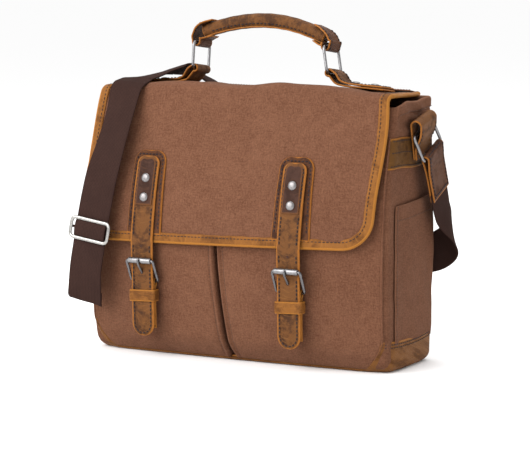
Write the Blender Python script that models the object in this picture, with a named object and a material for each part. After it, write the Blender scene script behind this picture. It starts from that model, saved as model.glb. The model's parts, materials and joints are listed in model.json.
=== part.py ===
"""Canvas and leather camera messenger bag, in metres.

Frame: origin at the centre of the leather base's underside, +X to the
wearer's right seen from the front, the front faces -Y, +Z up.
"""
import bpy
import bmesh
import math
import numpy as np
from mathutils import Matrix, Vector

# ---------------------------------------------------------------- dimensions
HALF_W = 0.193            # half width of the body
CORNER_R = 0.028          # lower corners of the body
PANEL_T = 0.002           # canvas thickness
GAP = 0.0005              # clearance between sewn layers
RIM_Z = 0.303             # rim of the gussets and of the back
FRONT_TOP_Z = 0.292       # rim of the front panel, under the flap
BASE_T = 0.0025           # leather base
BASE_UP = 0.036           # how far the base climbs the sides
# front seam and back seam, as (height, Y)
SEAM_FRONT = ((0.0, -0.0500), (0.10, -0.0560), (0.20, -0.0520), (0.30, -0.0400))
SEAM_BACK = ((0.0, 0.0530), (0.10, 0.0580), (0.20, 0.0570), (0.30, 0.0510))
FRONT_BULGE = 0.0080

POCKET_TOP = 0.196
POCKET_GAP, POCKET_X1 = 0.0030, 0.1820   # half the gap between the pockets, outer edge
POCKET_MID = ((0.0, -0.0640), (0.03, -0.0770), (0.10, -0.0850), (0.16, -0.0820), (0.21, -0.0740))
POCKET_SIDE = ((0.0, -0.0600), (0.03, -0.0660), (0.10, -0.0710), (0.16, -0.0690), (0.21, -0.0640))

FLAP_EDGE_Z = 0.1375      # lower edge of the flap
FLAP_RISE = 0.021         # slope of that edge, rising to the right
FLAP_LEFT = ((0.13, -0.1950), (0.20, -0.1945), (0.26, -0.1915), (0.30, -0.1865), (0.32, -0.1840))
FLAP_RIGHT = ((0.13, 0.1810), (0.18, 0.1815), (0.27, 0.1880), (0.32, 0.1870))
SEAM_ENDS = (-0.1840, 0.1750)   # flap's ends at the rear seam
FLAP_W = 0.1950
FLAP_R = 0.0350           # its lower corners
FLAP_T = 0.0024
FLAP_MID = ((0.13, -0.0935), (0.16, -0.0890), (0.20, -0.0810), (0.26, -0.0640), (0.302, -0.0545))
FLAP_SIDE = ((0.13, -0.0800), (0.16, -0.0770), (0.20, -0.0720), (0.26, -0.0590), (0.302, -0.0530))
BEND_Y, BEND_Z, BEND_R = -0.0420, 0.3060, 0.0120
TOP_HUMP, TOP_DROOP = 0.0015, 0.0085   # crown in the middle of the top, fall towards its ends
TOP_SLOPE = math.radians(6.5)
SEAM_HINGE = (0.0575, 0.3040)   # (Y, Z) of the rear seam that the flap turns on
BINDING_W, BINDING_T = 0.0100, 0.0012

STRAP_X = (-0.1060, 0.0855)     # closure straps
STRAP_W, STRAP_T = 0.0290, 0.0024
PATCH_T = 0.0012
ROLLER_Z, HEEL_Z = 0.1135, 0.0890
ROLLER_R, ROLLER_BORE, ROLLER_L = 0.0033, 0.0019, 0.0320
WIRE_R = 0.0015
TIP_Z = 0.0250
CHAPE_END_Z = 0.0340
KEEPER_Z0, KEEPER_Z1 = 0.0655, 0.0790

# lower and upper bar of each handle ring, as (X, height above the plane of the flap top)
RING_BARS = {"left": ((-0.0905, 0.0185), (-0.0905, 0.0500)), "right": ((0.0865, 0.0170), (0.0800, 0.0475))}
HANDLE_V = -0.0430              # place of the handle's plane, forward of the rear seam
HANDLE_W = 0.0314
RING_WIRE = 0.0017
GRIP_R = 0.0080

SIDE_BAR = (0.2025, 0.0060, 0.2715)    # upper bar of a side ring (mirrored in X)
SIDE_RING_H, SIDE_RING_W, SIDE_WIRE = 0.0310, 0.0475, 0.0018
CHAPE_W = 0.0430
TAB_L, TAB_W = 0.0540, 0.0440
WEB_W, WEB_T = 0.0440, 0.0018

CANVAS = (0.30, 0.155, 0.098)
LEATHER = (0.24, 0.105, 0.032)
BIND = (0.40, 0.165, 0.045)
DARK = (0.090, 0.040, 0.026)
BAND = (0.155, 0.075, 0.028)
WEB = (0.088, 0.050, 0.042)
FOAM = (0.060, 0.050, 0.045)
STEEL = (0.62, 0.60, 0.58)
GUN = (0.30, 0.29, 0.29)
NICKEL = (0.72, 0.70, 0.67)

for old in list(bpy.data.objects):
    bpy.data.objects.remove(old, do_unlink=True)


# ---------------------------------------------------------------- helpers
def smooth(table, t):
    """Catmull-Rom value of a (place, value) table."""
    xs = [p for p, _ in table]
    ys = [v for _, v in table]
    t = min(max(t, xs[0]), xs[-1])
    i = 0
    while i < len(xs) - 2 and t > xs[i + 1]:
        i += 1

    def slope(k):
        a, b = max(k - 1, 0), min(k + 1, len(xs) - 1)
        return (ys[b] - ys[a]) / (xs[b] - xs[a])

    h = xs[i + 1] - xs[i]
    u = (t - xs[i]) / h
    m0, m1 = slope(i) * h, slope(i + 1) * h
    return ((2 * u ** 3 - 3 * u ** 2 + 1) * ys[i] + (u ** 3 - 2 * u ** 2 + u) * m0
            + (-2 * u ** 3 + 3 * u ** 2) * ys[i + 1] + (u ** 3 - u ** 2) * m1)


def through(points, count):
    """Smooth curve through points, evenly spaced in parameter."""
    pts = np.array(points, float)
    rows = []
    for t in np.linspace(0, len(pts) - 1, count):
        i = min(int(t), len(pts) - 2)
        u = t - i
        p0, p1, p2, p3 = (pts[max(i - 1, 0)], pts[i], pts[i + 1], pts[min(i + 2, len(pts) - 1)])
        rows.append(0.5 * (2 * p1 + (p2 - p0) * u + (2 * p0 - 5 * p1 + 4 * p2 - p3) * u ** 2
                           + (3 * p1 - p0 - 3 * p2 + p3) * u ** 3))
    return np.array(rows)


materials = {}


def material(name, colour, rough, metal=0.0):
    mat = bpy.data.materials.new(name)
    mat.use_nodes = True
    shader = mat.node_tree.nodes["Principled BSDF"]
    shader.inputs["Base Color"].default_value = (*colour, 1.0)
    shader.inputs["Roughness"].default_value = rough
    shader.inputs["Metallic"].default_value = metal
    return mat


def finish(name, bm, look, parent=None, origin=(0, 0, 0), round_shade=True):
    """Closes a bmesh into an object whose origin is a joint's point."""
    bmesh.ops.remove_doubles(bm, verts=bm.verts, dist=1e-6)
    bmesh.ops.recalc_face_normals(bm, faces=bm.faces)
    if bm.calc_volume(signed=True) < 0:
        bmesh.ops.reverse_faces(bm, faces=bm.faces)
    origin = Vector(origin)
    bmesh.ops.translate(bm, verts=bm.verts, vec=-origin)
    mesh = bpy.data.meshes.new(name)
    bm.to_mesh(mesh)
    bm.free()
    if round_shade:
        mesh.shade_smooth()
        mesh.set_sharp_from_angle(angle=math.radians(35))
    obj = bpy.data.objects.new(name, mesh)
    mesh.materials.append(material(name + "_finish", *look))
    bpy.context.scene.collection.objects.link(obj)
    obj.location = origin
    if parent is not None:
        obj.parent = parent
        obj.matrix_parent_inverse = Matrix.Translation(-parent_place[parent.name])
    return obj


parent_place = {}


def pivot(name, place, parent=None):
    """An empty on a joint's axis; the body's pieces are parented to it."""
    empty = bpy.data.objects.new(name, None)
    empty.empty_display_size = 0.02
    bpy.context.scene.collection.objects.link(empty)
    empty.location = place
    parent_place[name] = Vector(place)
    if parent is not None:
        empty.parent = parent
        empty.matrix_parent_inverse = Matrix.Translation(-parent_place[parent.name])
    return empty


def two_sided(name, outer, inner, look, wrap=False, **kw):
    """Solid between two grids of points [row][column]; wrap joins the last column to the first."""
    bm = bmesh.new()
    a = [[bm.verts.new(p) for p in row] for row in outer]
    b = [[bm.verts.new(p) for p in row] for row in inner]
    rows, cols = len(a), len(a[0])
    last = cols if wrap else cols - 1
    for i in range(rows - 1):
        for j in range(last):
            k = (j + 1) % cols
            bm.faces.new((a[i][j], a[i][k], a[i + 1][k], a[i + 1][j]))
            bm.faces.new((b[i][j], b[i + 1][j], b[i + 1][k], b[i][k]))
    for j in range(last):
        k = (j + 1) % cols
        bm.faces.new((a[0][k], a[0][j], b[0][j], b[0][k]))
        bm.faces.new((a[-1][j], a[-1][k], b[-1][k], b[-1][j]))
    if not wrap:
        for i in range(rows - 1):
            bm.faces.new((a[i][0], a[i + 1][0], b[i + 1][0], b[i][0]))
            bm.faces.new((a[i + 1][-1], a[i][-1], b[i][-1], b[i + 1][-1]))
    return finish(name, bm, look, **kw)


def strip(path, across, half, thick, lift=0.0):
    """Grids of a band along a path: across is its width direction, half its half width at each point."""
    path = np.array(path, float)
    n = len(path)
    across = np.broadcast_to(np.array(across, float), (n, 3))
    half = np.broadcast_to(np.array(half, float), (n,))
    tangent = np.gradient(path, axis=0)
    tangent /= np.linalg.norm(tangent, axis=1)[:, None]
    wide = across - (across * tangent).sum(1)[:, None] * tangent
    wide /= np.linalg.norm(wide, axis=1)[:, None]
    normal = np.cross(wide, tangent)
    lift = np.broadcast_to(np.array(lift, float), (n,))
    centre = path + normal * lift[:, None]
    front = [[centre[i] + normal[i] * thick / 2 + s * wide[i] * half[i] for s in (-1, 1)] for i in range(n)]
    back = [[centre[i] - normal[i] * thick / 2 + s * wide[i] * half[i] for s in (-1, 1)] for i in range(n)]
    return front, back


def band(name, path, across, half, thick, look, lift=0.0, **kw):
    front, back = strip(path, across, half, thick, lift)
    return two_sided(name, front, back, look, **kw)


def tube(name, points, radius, look, parent=None, cyclic=False, sides=2):
    """Round bar along points."""
    curve = bpy.data.curves.new(name, "CURVE")
    curve.dimensions = "3D"
    curve.bevel_depth = radius
    curve.bevel_resolution = sides
    curve.use_fill_caps = not cyclic
    curve.resolution_u = 1
    spline = curve.splines.new("POLY")
    spline.points.add(len(points) - 1)
    for place, p in zip(spline.points, points):
        place.co = (*p, 1.0)
    spline.use_cyclic_u = cyclic
    obj = bpy.data.objects.new(name, curve)
    curve.materials.append(material(name + "_finish", *look))
    bpy.context.scene.collection.objects.link(obj)
    if parent is not None:
        obj.parent = parent
        obj.matrix_parent_inverse = Matrix.Translation(-parent_place[parent.name])
    return obj


def rounded_rectangle(half_a, half_b, radius, steps=4):
    """Points of a rounded rectangle in its own plane."""
    out = []
    for ca, cb, start in ((half_a - radius, half_b - radius, 0), (-half_a + radius, half_b - radius, 90),
                          (-half_a + radius, -half_b + radius, 180), (half_a - radius, -half_b + radius, 270)):
        for k in range(steps + 1):
            ang = math.radians(start + 90 * k / steps)
            out.append((ca + radius * math.cos(ang), cb + radius * math.sin(ang)))
    return out


def lathe(name, place, axis, profile, look, sides=16, parent=None):
    """Turned solid: profile is (radius, height) from the underside's centre to the top's centre."""
    bm = bmesh.new()
    axis = Vector(axis).normalized()
    turn = Vector((0, 0, 1)).rotation_difference(axis)
    rings = []
    for radius, height in profile:
        if radius == 0:
            rings.append([bm.verts.new(turn @ Vector((0, 0, height)) + Vector(place))])
        else:
            rings.append([bm.verts.new(turn @ Vector((radius * math.cos(2 * math.pi * k / sides),
                                                      radius * math.sin(2 * math.pi * k / sides), height))
                                       + Vector(place)) for k in range(sides)])
    for low, high in zip(rings, rings[1:]):
        for k in range(sides):
            m = (k + 1) % sides
            if len(low) == 1:
                bm.faces.new((low[0], high[m], high[k]))
            elif len(high) == 1:
                bm.faces.new((low[k], low[m], high[0]))
            else:
                bm.faces.new((low[k], low[m], high[m], high[k]))
    return finish(name, bm, look, parent=parent)


def cut_box(obj, low, high):
    """Cuts a box out of an object."""
    bm = bmesh.new()
    bmesh.ops.create_cube(bm, size=1.0)
    size = Vector(high) - Vector(low)
    middle = (Vector(high) + Vector(low)) / 2
    bmesh.ops.scale(bm, verts=bm.verts, vec=size)
    bmesh.ops.translate(bm, verts=bm.verts, vec=middle)
    mesh = bpy.data.meshes.new(obj.name + "_cutter")
    bm.to_mesh(mesh)
    bm.free()
    tool = bpy.data.objects.new(obj.name + "_cutter", mesh)
    tool.hide_render = True
    tool.display_type = "WIRE"
    bpy.context.scene.collection.objects.link(tool)
    cut = obj.modifiers.new("slot", "BOOLEAN")
    cut.operation = "DIFFERENCE"
    cut.solver = "EXACT"
    cut.object = tool


# ---------------------------------------------------------------- surfaces
def seam_front(z):
    return smooth(SEAM_FRONT, z)


def seam_back(z):
    return smooth(SEAM_BACK, z)


def front_y(x, z):
    u = min(abs(x) / HALF_W, 1.0)
    v = min(max(z / 0.30, 0.0), 1.0)
    return seam_front(z) - FRONT_BULGE * (1 - u ** 2) * math.sin(math.pi * (0.08 + 0.84 * v))


def back_y(x, z):
    u = min(abs(x) / HALF_W, 1.0)
    return seam_back(z) + 0.0035 * (1 - u ** 2) * math.sin(math.pi * min(max(z / 0.31, 0), 1))


def pocket_y(x, z):
    u = min(abs(x) / POCKET_X1, 1.0)
    return smooth(POCKET_SIDE, z) + (smooth(POCKET_MID, z) - smooth(POCKET_SIDE, z)) * (1 - u ** 2.4)


def flap_y(x, z):
    u = min(abs(x) / FLAP_W, 1.0)
    return smooth(FLAP_SIDE, z) + (smooth(FLAP_MID, z) - smooth(FLAP_SIDE, z)) * (1 - u ** 2.4)


def body_half(z):
    """Half width of the body at a height, with its rounded lower corners."""
    if z >= CORNER_R:
        return HALF_W
    return HALF_W - CORNER_R + math.sqrt(max(CORNER_R ** 2 - (CORNER_R - z) ** 2, 0.0))


def top_point(x, v, n):
    """Point on the sloping flap top: v runs back from the front, n is the height above its outer face."""
    y0, z0 = SEAM_HINGE
    c, s = math.cos(TOP_SLOPE), math.sin(TOP_SLOPE)
    return Vector((x, y0 + v * c + n * s, z0 - v * s + n * c))


# ---------------------------------------------------------------- joint points
bag = pivot("bag", (0, 0, 0))
flap_top = pivot("flap_top", (0, *SEAM_HINGE), bag)
FOLD_AT = math.radians(95.5)   # where round the front bend the flap folds
flap_front = pivot("flap_front", (0, BEND_Y + BEND_R * math.cos(FOLD_AT), BEND_Z + BEND_R * math.sin(FOLD_AT)), flap_top)

# ---------------------------------------------------------------- body shell
LOW = 0.0035
rows = [LOW, 0.008, 0.016, CORNER_R, 0.06, 0.10, 0.15, 0.20, 0.25, FRONT_TOP_Z]
cols = np.linspace(-1, 1, 11)
two_sided("front_panel",
          [[(u * body_half(z), front_y(u * body_half(z), z), z) for u in cols] for z in rows],
          [[(u * body_half(z), front_y(u * body_half(z), z) + PANEL_T, z) for u in cols] for z in rows],
          (CANVAS, 0.9), parent=bag)
rows = rows[:-1] + [RIM_Z - 0.002]
two_sided("back_panel",
          [[(u * body_half(z), back_y(u * body_half(z), z), z) for u in cols] for z in rows],
          [[(u * body_half(z), back_y(u * body_half(z), z) - PANEL_T, z) for u in cols] for z in rows],
          (CANVAS, 0.9), parent=bag)


def depth_pair(z, inset=PANEL_T + 0.0007):
    return seam_front(z) + inset, seam_back(z) - inset


path = [(-HALF_W, BASE_UP)]
for k in range(6):
    ang = math.radians(180 + 90 * k / 5)
    path.append((-HALF_W + CORNER_R + CORNER_R * math.cos(ang), CORNER_R + CORNER_R * math.sin(ang)))
path += [(-x, z) for x, z in reversed(path)]
inner = [(-HALF_W + BASE_T, BASE_UP)]
for k in range(6):
    ang = math.radians(180 + 90 * k / 5)
    r = CORNER_R - BASE_T
    inner.append((-HALF_W + CORNER_R + r * math.cos(ang), CORNER_R + r * math.sin(ang)))
inner += [(-x, z) for x, z in reversed(inner)]
two_sided("base_leather",
          [[(x, depth_pair(z)[k], z) for k in (0, 1)] for x, z in path],
          [[(x, depth_pair(z)[k], z) for k in (0, 1)] for x, z in inner],
          (LEATHER, 0.6), parent=bag)

for side, sign in (("left", -1), ("right", 1)):
    rows = [BASE_UP + GAP, 0.08, 0.12, 0.16, 0.20, 0.24, 0.28, RIM_Z]
    cols = (0, 0.25, 0.5, 0.75, 1)

    def side_point(x, z, t, inset=PANEL_T + GAP):
        a, b = depth_pair(z, inset)
        return (sign * x, a + (b - a) * t, z)

    two_sided(side + "_gusset",
              [[side_point(HALF_W, z, t) for t in cols] for z in rows],
              [[side_point(HALF_W - PANEL_T, z, t) for t in cols] for z in rows],
              (CANVAS, 0.9), parent=bag)
    rows = (BASE_UP + GAP, 0.09, 0.14, 0.170, 0.195)
    x0 = HALF_W + GAP
    swell = {0: 0.0, 1: 0.0, 2: 0.0012, 3: 0.0, 4: 0.0}
    two_sided(side + "_side_pocket",
              [[side_point(x0 + 0.002, z, t, 0.004) for t in cols] for z in rows],
              [[side_point(x0, z, t, 0.004) for t in cols] for z in rows],
              (CANVAS, 0.9), parent=bag)
    rows = (0.228, 0.245, 0.262)
    two_sided(side + "_side_band",
              [[side_point(x0 + 0.002, z, t, 0.002) for t in cols] for z in rows],
              [[side_point(x0, z, t, 0.002) for t in cols] for z in rows],
              (BAND, 0.55), parent=bag)

# ---------------------------------------------------------------- front pockets
def pocket_middle(z):
    """X of the gap between the pockets: it leans a little."""
    return -0.0030 - 0.0125 * z / 0.137


def pocket_loop(sign, z, in0, in1, back_gap, front_in, depth=1.0, count=9):
    """Outline of a bellows pocket at one height, seen from above; in0 and in1 are wall insets."""
    out = []
    start = POCKET_GAP + sign * pocket_middle(z)
    x0, x1 = start + in0, POCKET_X1 - in1
    for u in np.linspace(0, 1, count):
        x = x0 + (x1 - x0) * u
        wall = front_y(sign * x, z) - 0.0008
        u_all = (x - start) / (POCKET_X1 - start)
        edge = (1 - abs(2 * u_all - 1) ** 8) ** 0.5
        full = pocket_y(sign * x, z) - wall
        y = wall + full * depth * (0.45 + 0.55 * edge) + front_in
        out.append((sign * x, min(y, wall - back_gap - 0.002), z))
    for u in np.linspace(1, 0, 5):
        x = x0 + (x1 - x0) * u
        out.append((sign * x, front_y(sign * x, z) - 0.0008 - back_gap, z))
    return out


def cup(name, outer_loops, inner_loops, look, **kw):
    """Vessel: outer loops from the bottom up, inner loops from the rim down."""
    bm = bmesh.new()
    loops = [[bm.verts.new(p) for p in loop] for loop in outer_loops + inner_loops]
    bm.faces.new(list(reversed(loops[0])))
    for a, b in zip(loops, loops[1:]):
        for k in range(len(a)):
            m = (k + 1) % len(a)
            bm.faces.new((a[k], a[m], b[m], b[k]))
    bm.faces.new(loops[-1])
    bmesh.ops.triangulate(bm, faces=[f for f in bm.faces if len(f.verts) > 4])
    return finish(name, bm, look, **kw)


for side, sign in (("left", -1), ("right", 1)):
    levels = ((0.004, 0.45), (0.012, 0.85), (0.030, 1.0), (0.07, 1.0), (0.11, 1.0), (0.15, 1.0), (POCKET_TOP, 1.0))
    outer = [pocket_loop(sign, z, 0.0, 0.0 if z > 0.02 else 0.016 * (0.02 - z) / 0.02 + 0.002,
                         0.0, 0.0, d) for z, d in levels]
    wall = 0.0018
    inner = [pocket_loop(sign, z, wall, wall, wall, wall, 1.0)
             for z in (POCKET_TOP, 0.15, 0.11, 0.07, 0.030)]
    inner.append(pocket_loop(sign, 0.014, wall, 0.012, wall, wall + 0.0002, 0.85))
    cup(side + "_front_pocket", outer, inner, (CANVAS, 0.9), parent=bag)

# ---------------------------------------------------------------- padded insert
def box_loop(hx, y0, y1, z, r=0.010, steps=2):
    hy = (y1 - y0) / 2
    return [(a, (y0 + y1) / 2 + b, z) for a, b in rounded_rectangle(hx, hy, min(r, hy * 0.9), steps)]


INSERT_TOP, FOAM_T = 0.258, 0.007
INSERT_Y = (-0.0370, 0.0440)
outer = [box_loop(0.160, -0.030, 0.036, 0.0032), box_loop(0.176, -0.036, 0.042, 0.010),
         box_loop(0.1865, *INSERT_Y, 0.030), box_loop(0.1870, *INSERT_Y, 0.14), box_loop(0.1870, *INSERT_Y, INSERT_TOP)]
inner = [box_loop(0.1870 - FOAM_T, INSERT_Y[0] + FOAM_T, INSERT_Y[1] - FOAM_T, z, 0.006)
         for z in (INSERT_TOP, 0.14)] + \
        [box_loop(0.1790, INSERT_Y[0] + FOAM_T, INSERT_Y[1] - FOAM_T, 0.030, 0.006),
         box_loop(0.1660, INSERT_Y[0] + FOAM_T, INSERT_Y[1] - FOAM_T, 0.012, 0.006)]
cup("padded_insert", outer, inner, (FOAM, 0.95), parent=bag)
DIVIDER_X = 0.036
two_sided("divider",
          [[(DIVIDER_X - 0.003, y, z) for y in (INSERT_Y[0] + FOAM_T + 0.0005, INSERT_Y[1] - FOAM_T - 0.0005)]
           for z in (0.0125, 0.235)],
          [[(DIVIDER_X + 0.003, y, z) for y in (INSERT_Y[0] + FOAM_T + 0.0005, INSERT_Y[1] - FOAM_T - 0.0005)]
           for z in (0.0125, 0.235)],
          (FOAM, 0.95), parent=bag)

# ---------------------------------------------------------------- flap top
def bend_points(extra):
    """(Y, Z) from the end of the flap top round the front bend; extra is the outward offset."""
    out = []
    start = math.radians(90) - TOP_SLOPE
    for k in range(5):
        ang = start + (math.radians(180) - start) * k / 4
        out.append((BEND_Y + (BEND_R + extra) * math.cos(ang), BEND_Z + (BEND_R + extra) * math.sin(ang)))
    return out


def top_sag(x, t):
    """Height of the flap top over its plane: t runs from the rear seam, 0, to the front bend, 1."""
    far = min(max((abs(x + 0.003) - 0.080) / 0.110, 0.0), 1.0)
    return TOP_HUMP * (1 - (x / 0.21) ** 2) * math.sin(math.pi * min(t, 1.0)) - TOP_DROOP * far ** 1.5 * t ** 0.6


join = bend_points(0)[0]
line_t = (0.0, 0.2, 0.4, 0.6, 0.8, 1.0)
seam_y = SEAM_HINGE[0] - 0.0005
outer_line = [(seam_y + (join[0] - seam_y) * t, join[1] - (seam_y + (join[0] - seam_y) * t - join[0])
               * math.tan(TOP_SLOPE)) for t in line_t]
normal_top = (math.sin(TOP_SLOPE), math.cos(TOP_SLOPE))
TOP_Z0 = outer_line[0]
us = np.linspace(0, 1, 11)


def top_x(u, t):
    left = SEAM_ENDS[0] + (smooth(FLAP_LEFT, 0.31) - SEAM_ENDS[0]) * t
    right = SEAM_ENDS[1] + (smooth(FLAP_RIGHT, 0.31) - SEAM_ENDS[1]) * t
    return left + (right - left) * u


grid_o, grid_i = [], []
for t, (y, z) in zip(line_t, outer_line):
    grid_o.append([(top_x(u, t), y, z + top_sag(top_x(u, t), t)) for u in us])
    grid_i.append([(top_x(u, t), y - normal_top[0] * FLAP_T, z - normal_top[1] * FLAP_T + top_sag(top_x(u, t), t))
                   for u in us])
two_sided("flap_top_panel", grid_o, grid_i, (CANVAS, 0.9), parent=flap_top)


def on_top(x, v, n):
    """Point n above the flap top's outer face, v metres behind the point above the rear seam (negative is forward)."""
    c, s = math.cos(TOP_SLOPE), math.sin(TOP_SLOPE)
    y, z = TOP_Z0
    return Vector((x, y + v * c + n * s, z - v * s + n * c))


# ---------------------------------------------------------------- flap front
zs = [0.290, 0.275, 0.255, 0.235, 0.215, 0.195, FLAP_EDGE_Z + FLAP_R, 0.1580, 0.1470, 0.1405, FLAP_EDGE_Z]


def edge_shift(x, z):
    """Height of a flap point once its lower edge is sloped."""
    return z + FLAP_RISE * x * max(0.0, 1 - (z - FLAP_EDGE_Z) / 0.08)


def flap_ends(z):
    """Left and right end of the flap front at a height, with rounded lower corners."""
    left, right = smooth(FLAP_LEFT, z), smooth(FLAP_RIGHT, z)
    d = FLAP_EDGE_Z + FLAP_R - z
    if d > 0:
        cut = FLAP_R - math.sqrt(max(FLAP_R ** 2 - d ** 2, 0.0))
        left, right = left + cut, right - cut
    return left, right


def flap_point(x, z, out):
    zz = edge_shift(x, z)
    return (x, flap_y(x, zz) - out, zz)


outer, inner = [], []
for extra, rows_here in ((0, outer), (-FLAP_T, inner)):
    for y, z in bend_points(extra)[1:4]:
        rows_here.append([(top_x(u, 1), y, z + top_sag(top_x(u, 1), 1)) for u in us])
    for z in zs:
        a, b = flap_ends(z)
        rows_here.append([flap_point(a + (b - a) * u, z, extra) for u in us])
two_sided("flap_front_panel", outer, inner, (CANVAS, 0.9), parent=flap_front)

# leather binding round the flap front's free edge, on its outer face
edge = []
for z in (0.290, 0.265, 0.240, 0.215, 0.190, FLAP_EDGE_Z + FLAP_R):
    edge.append((smooth(FLAP_LEFT, z), z, 1.0, 0.0))
corner_l = smooth(FLAP_LEFT, 0.15) + FLAP_R
corner_r = smooth(FLAP_RIGHT, 0.15) - FLAP_R
for k in range(1, 6):
    ang = math.radians(180 + 90 * k / 5)
    edge.append((corner_l + FLAP_R * math.cos(ang), FLAP_EDGE_Z + FLAP_R + FLAP_R * math.sin(ang),
                 -math.cos(ang), -math.sin(ang)))
for x in (-0.12, -0.08, -0.04, 0.0, 0.04, 0.08, 0.12):
    edge.append((x, FLAP_EDGE_Z, 0.0, 1.0))
for k in range(0, 5):
    ang = math.radians(270 + 90 * k / 5)
    edge.append((corner_r + FLAP_R * math.cos(ang), FLAP_EDGE_Z + FLAP_R + FLAP_R * math.sin(ang),
                 -math.cos(ang), -math.sin(ang)))
for z in (FLAP_EDGE_Z + FLAP_R, 0.190, 0.215, 0.240, 0.265, 0.290):
    edge.append((smooth(FLAP_RIGHT, z), z, -1.0, 0.0))
grids = [[], []]
for layer, lift in ((0, GAP + BINDING_T), (1, GAP)):
    for x, z, dx, dz in edge:
        grids[layer].append([flap_point(x + dx * d, z + dz * d, lift + 0.0003) for d in (0.0, BINDING_W)])
two_sided("flap_binding", grids[0], grids[1], (BIND, 0.5), parent=flap_front)

# ---------------------------------------------------------------- closure straps
for side, xs in zip(("left", "right"), STRAP_X):
    # reinforcement patch, rounded at the top
    top, bottom = 0.2390, edge_shift(xs, FLAP_EDGE_Z + BINDING_W) + 0.0012
    half_top, half_low, radius = 0.0208, 0.0235, 0.018
    rows_f, rows_b = [], []
    for z in (top, top - 0.0025, top - 0.008, top - radius, 0.20, 0.18, 0.16, bottom):
        d = max(radius - (top - z), 0.0)
        h = half_top + (half_low - half_top) * (top - z) / (top - bottom)
        h = h - radius + math.sqrt(max(radius ** 2 - d ** 2, 0.0)) if d > 0 else h
        rows_f.append([(xs + u * h, flap_y(xs + u * h, z) - GAP - PATCH_T, z) for u in (-1, 0, 1)])
        rows_b.append([(xs + u * h, flap_y(xs + u * h, z) - GAP, z) for u in (-1, 0, 1)])
    two_sided(side + "_strap_patch", rows_f, rows_b, (LEATHER, 0.55), parent=flap_front)

    # strap on the flap
    lift = 2 * GAP + max(PATCH_T, BINDING_T) + 0.0013
    rows_f, rows_b = [], []
    top = 0.2330
    for z in (top, top - 0.003, top - 0.012, 0.20, 0.18, 0.16, 0.145, FLAP_EDGE_Z + 0.001):
        d = max(0.012 - (top - z), 0.0)
        h = STRAP_W / 2
        h = h - 0.012 + math.sqrt(max(0.012 ** 2 - d ** 2, 0.0)) if d > 0 else h
        y = flap_y(xs, z) - lift
        rows_f.append([(xs + u * h, y - STRAP_T, z) for u in (-1, 1)])
        rows_b.append([(xs + u * h, y, z) for u in (-1, 1)])
    two_sided(side + "_strap_upper", rows_f, rows_b, (LEATHER, 0.55), parent=flap_front)

    # dark overlay with two rivets
    rows_f, rows_b = [], []
    top = 0.2300
    for z in (top, top - 0.003, top - 0.010, 0.20, 0.178):
        d = max(0.010 - (top - z), 0.0)
        h = 0.0105
        h = h - 0.010 + math.sqrt(max(0.010 ** 2 - d ** 2, 0.0)) if d > 0 else h
        h = max(h, 0.004)
        y = flap_y(xs, z) - lift - STRAP_T - GAP
        rows_f.append([(xs + u * h, y - 0.0010, z) for u in (-1, 1)])
        rows_b.append([(xs + u * h, y, z) for u in (-1, 1)])
    two_sided(side + "_strap_overlay", rows_f, rows_b, (DARK, 0.55), parent=flap_front)
    for place, z in (("upper", 0.2085), ("lower", 0.1865)):
        y = flap_y(xs, z) - lift - STRAP_T - 2 * GAP - 0.0013
        lathe(f"{side}_{place}_rivet", (xs, y, z), (0, -1, 0.20),
              ((0, 0), (0.0049, 0), (0.0049, 0.0006), (0.0040, 0.0014), (0, 0.0018)), (NICKEL, 0.25, 1.0),
              parent=flap_front)

    # tail: hinged where the strap leaves the flap's edge
    y_top = flap_y(xs, FLAP_EDGE_Z) - lift - STRAP_T / 2
    y_low = y_top + 0.0035
    tail = pivot(side + "_tail", (xs, y_top - STRAP_T / 2, FLAP_EDGE_Z), flap_front)

    def tail_y(z):
        return y_top + (y_low - y_top) * (FLAP_EDGE_Z - z) / (FLAP_EDGE_Z - TIP_Z)

    zs_tail = [FLAP_EDGE_Z - 0.0005, 0.120, 0.112, 0.104, 0.096, 0.085, 0.070, 0.055, TIP_Z + 0.0145]
    points = [(z, STRAP_W / 2) for z in zs_tail]
    for k in (1, 2, 3, 4, 5):
        ang = math.radians(90 * k / 5 * 0.93)
        points.append((TIP_Z + 0.0145 - 0.0145 * math.sin(ang), STRAP_W / 2 * math.cos(ang) * 0.98 + 0.0004))
    rows_f = [[(xs + u * h, tail_y(z) - STRAP_T / 2, z) for u in (-1, 1)] for z, h in points]
    rows_b = [[(xs + u * h, tail_y(z) + STRAP_T / 2, z) for u in (-1, 1)] for z, h in points]
    body = two_sided(side + "_strap_tail", rows_f, rows_b, (LEATHER, 0.55), parent=tail)
    cut_box(body, (xs - 0.0019, tail_y(0.1) - 0.01, 0.0935), (xs + 0.0019, tail_y(0.1) + 0.01, 0.1045))

    # buckle: frame with its outer bar in front of the strap and its heel bar behind it
    roller_y = tail_y(ROLLER_Z) - STRAP_T / 2 - 0.0006 - ROLLER_R
    heel_y = tail_y(HEEL_Z) + STRAP_T / 2 + 0.0006 + 0.0020 + 0.0004 + WIRE_R
    bar_a = Vector((xs, roller_y, ROLLER_Z))
    bar_b = Vector((xs, heel_y, HEEL_Z))
    along = (bar_b - bar_a)
    half_h = along.length / 2
    down = along.normalized()
    centre = (bar_a + bar_b) / 2
    frame_half = ROLLER_L / 2 + 0.0006 + WIRE_R + 0.0002
    loop = [centre + Vector((a, 0, 0)) + down * b
            for a, b in rounded_rectangle(frame_half, half_h, 0.0016, 3)]
    tube(side + "_buckle_frame", loop, WIRE_R, (GUN, 0.3, 1.0), parent=tail, cyclic=True)

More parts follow.
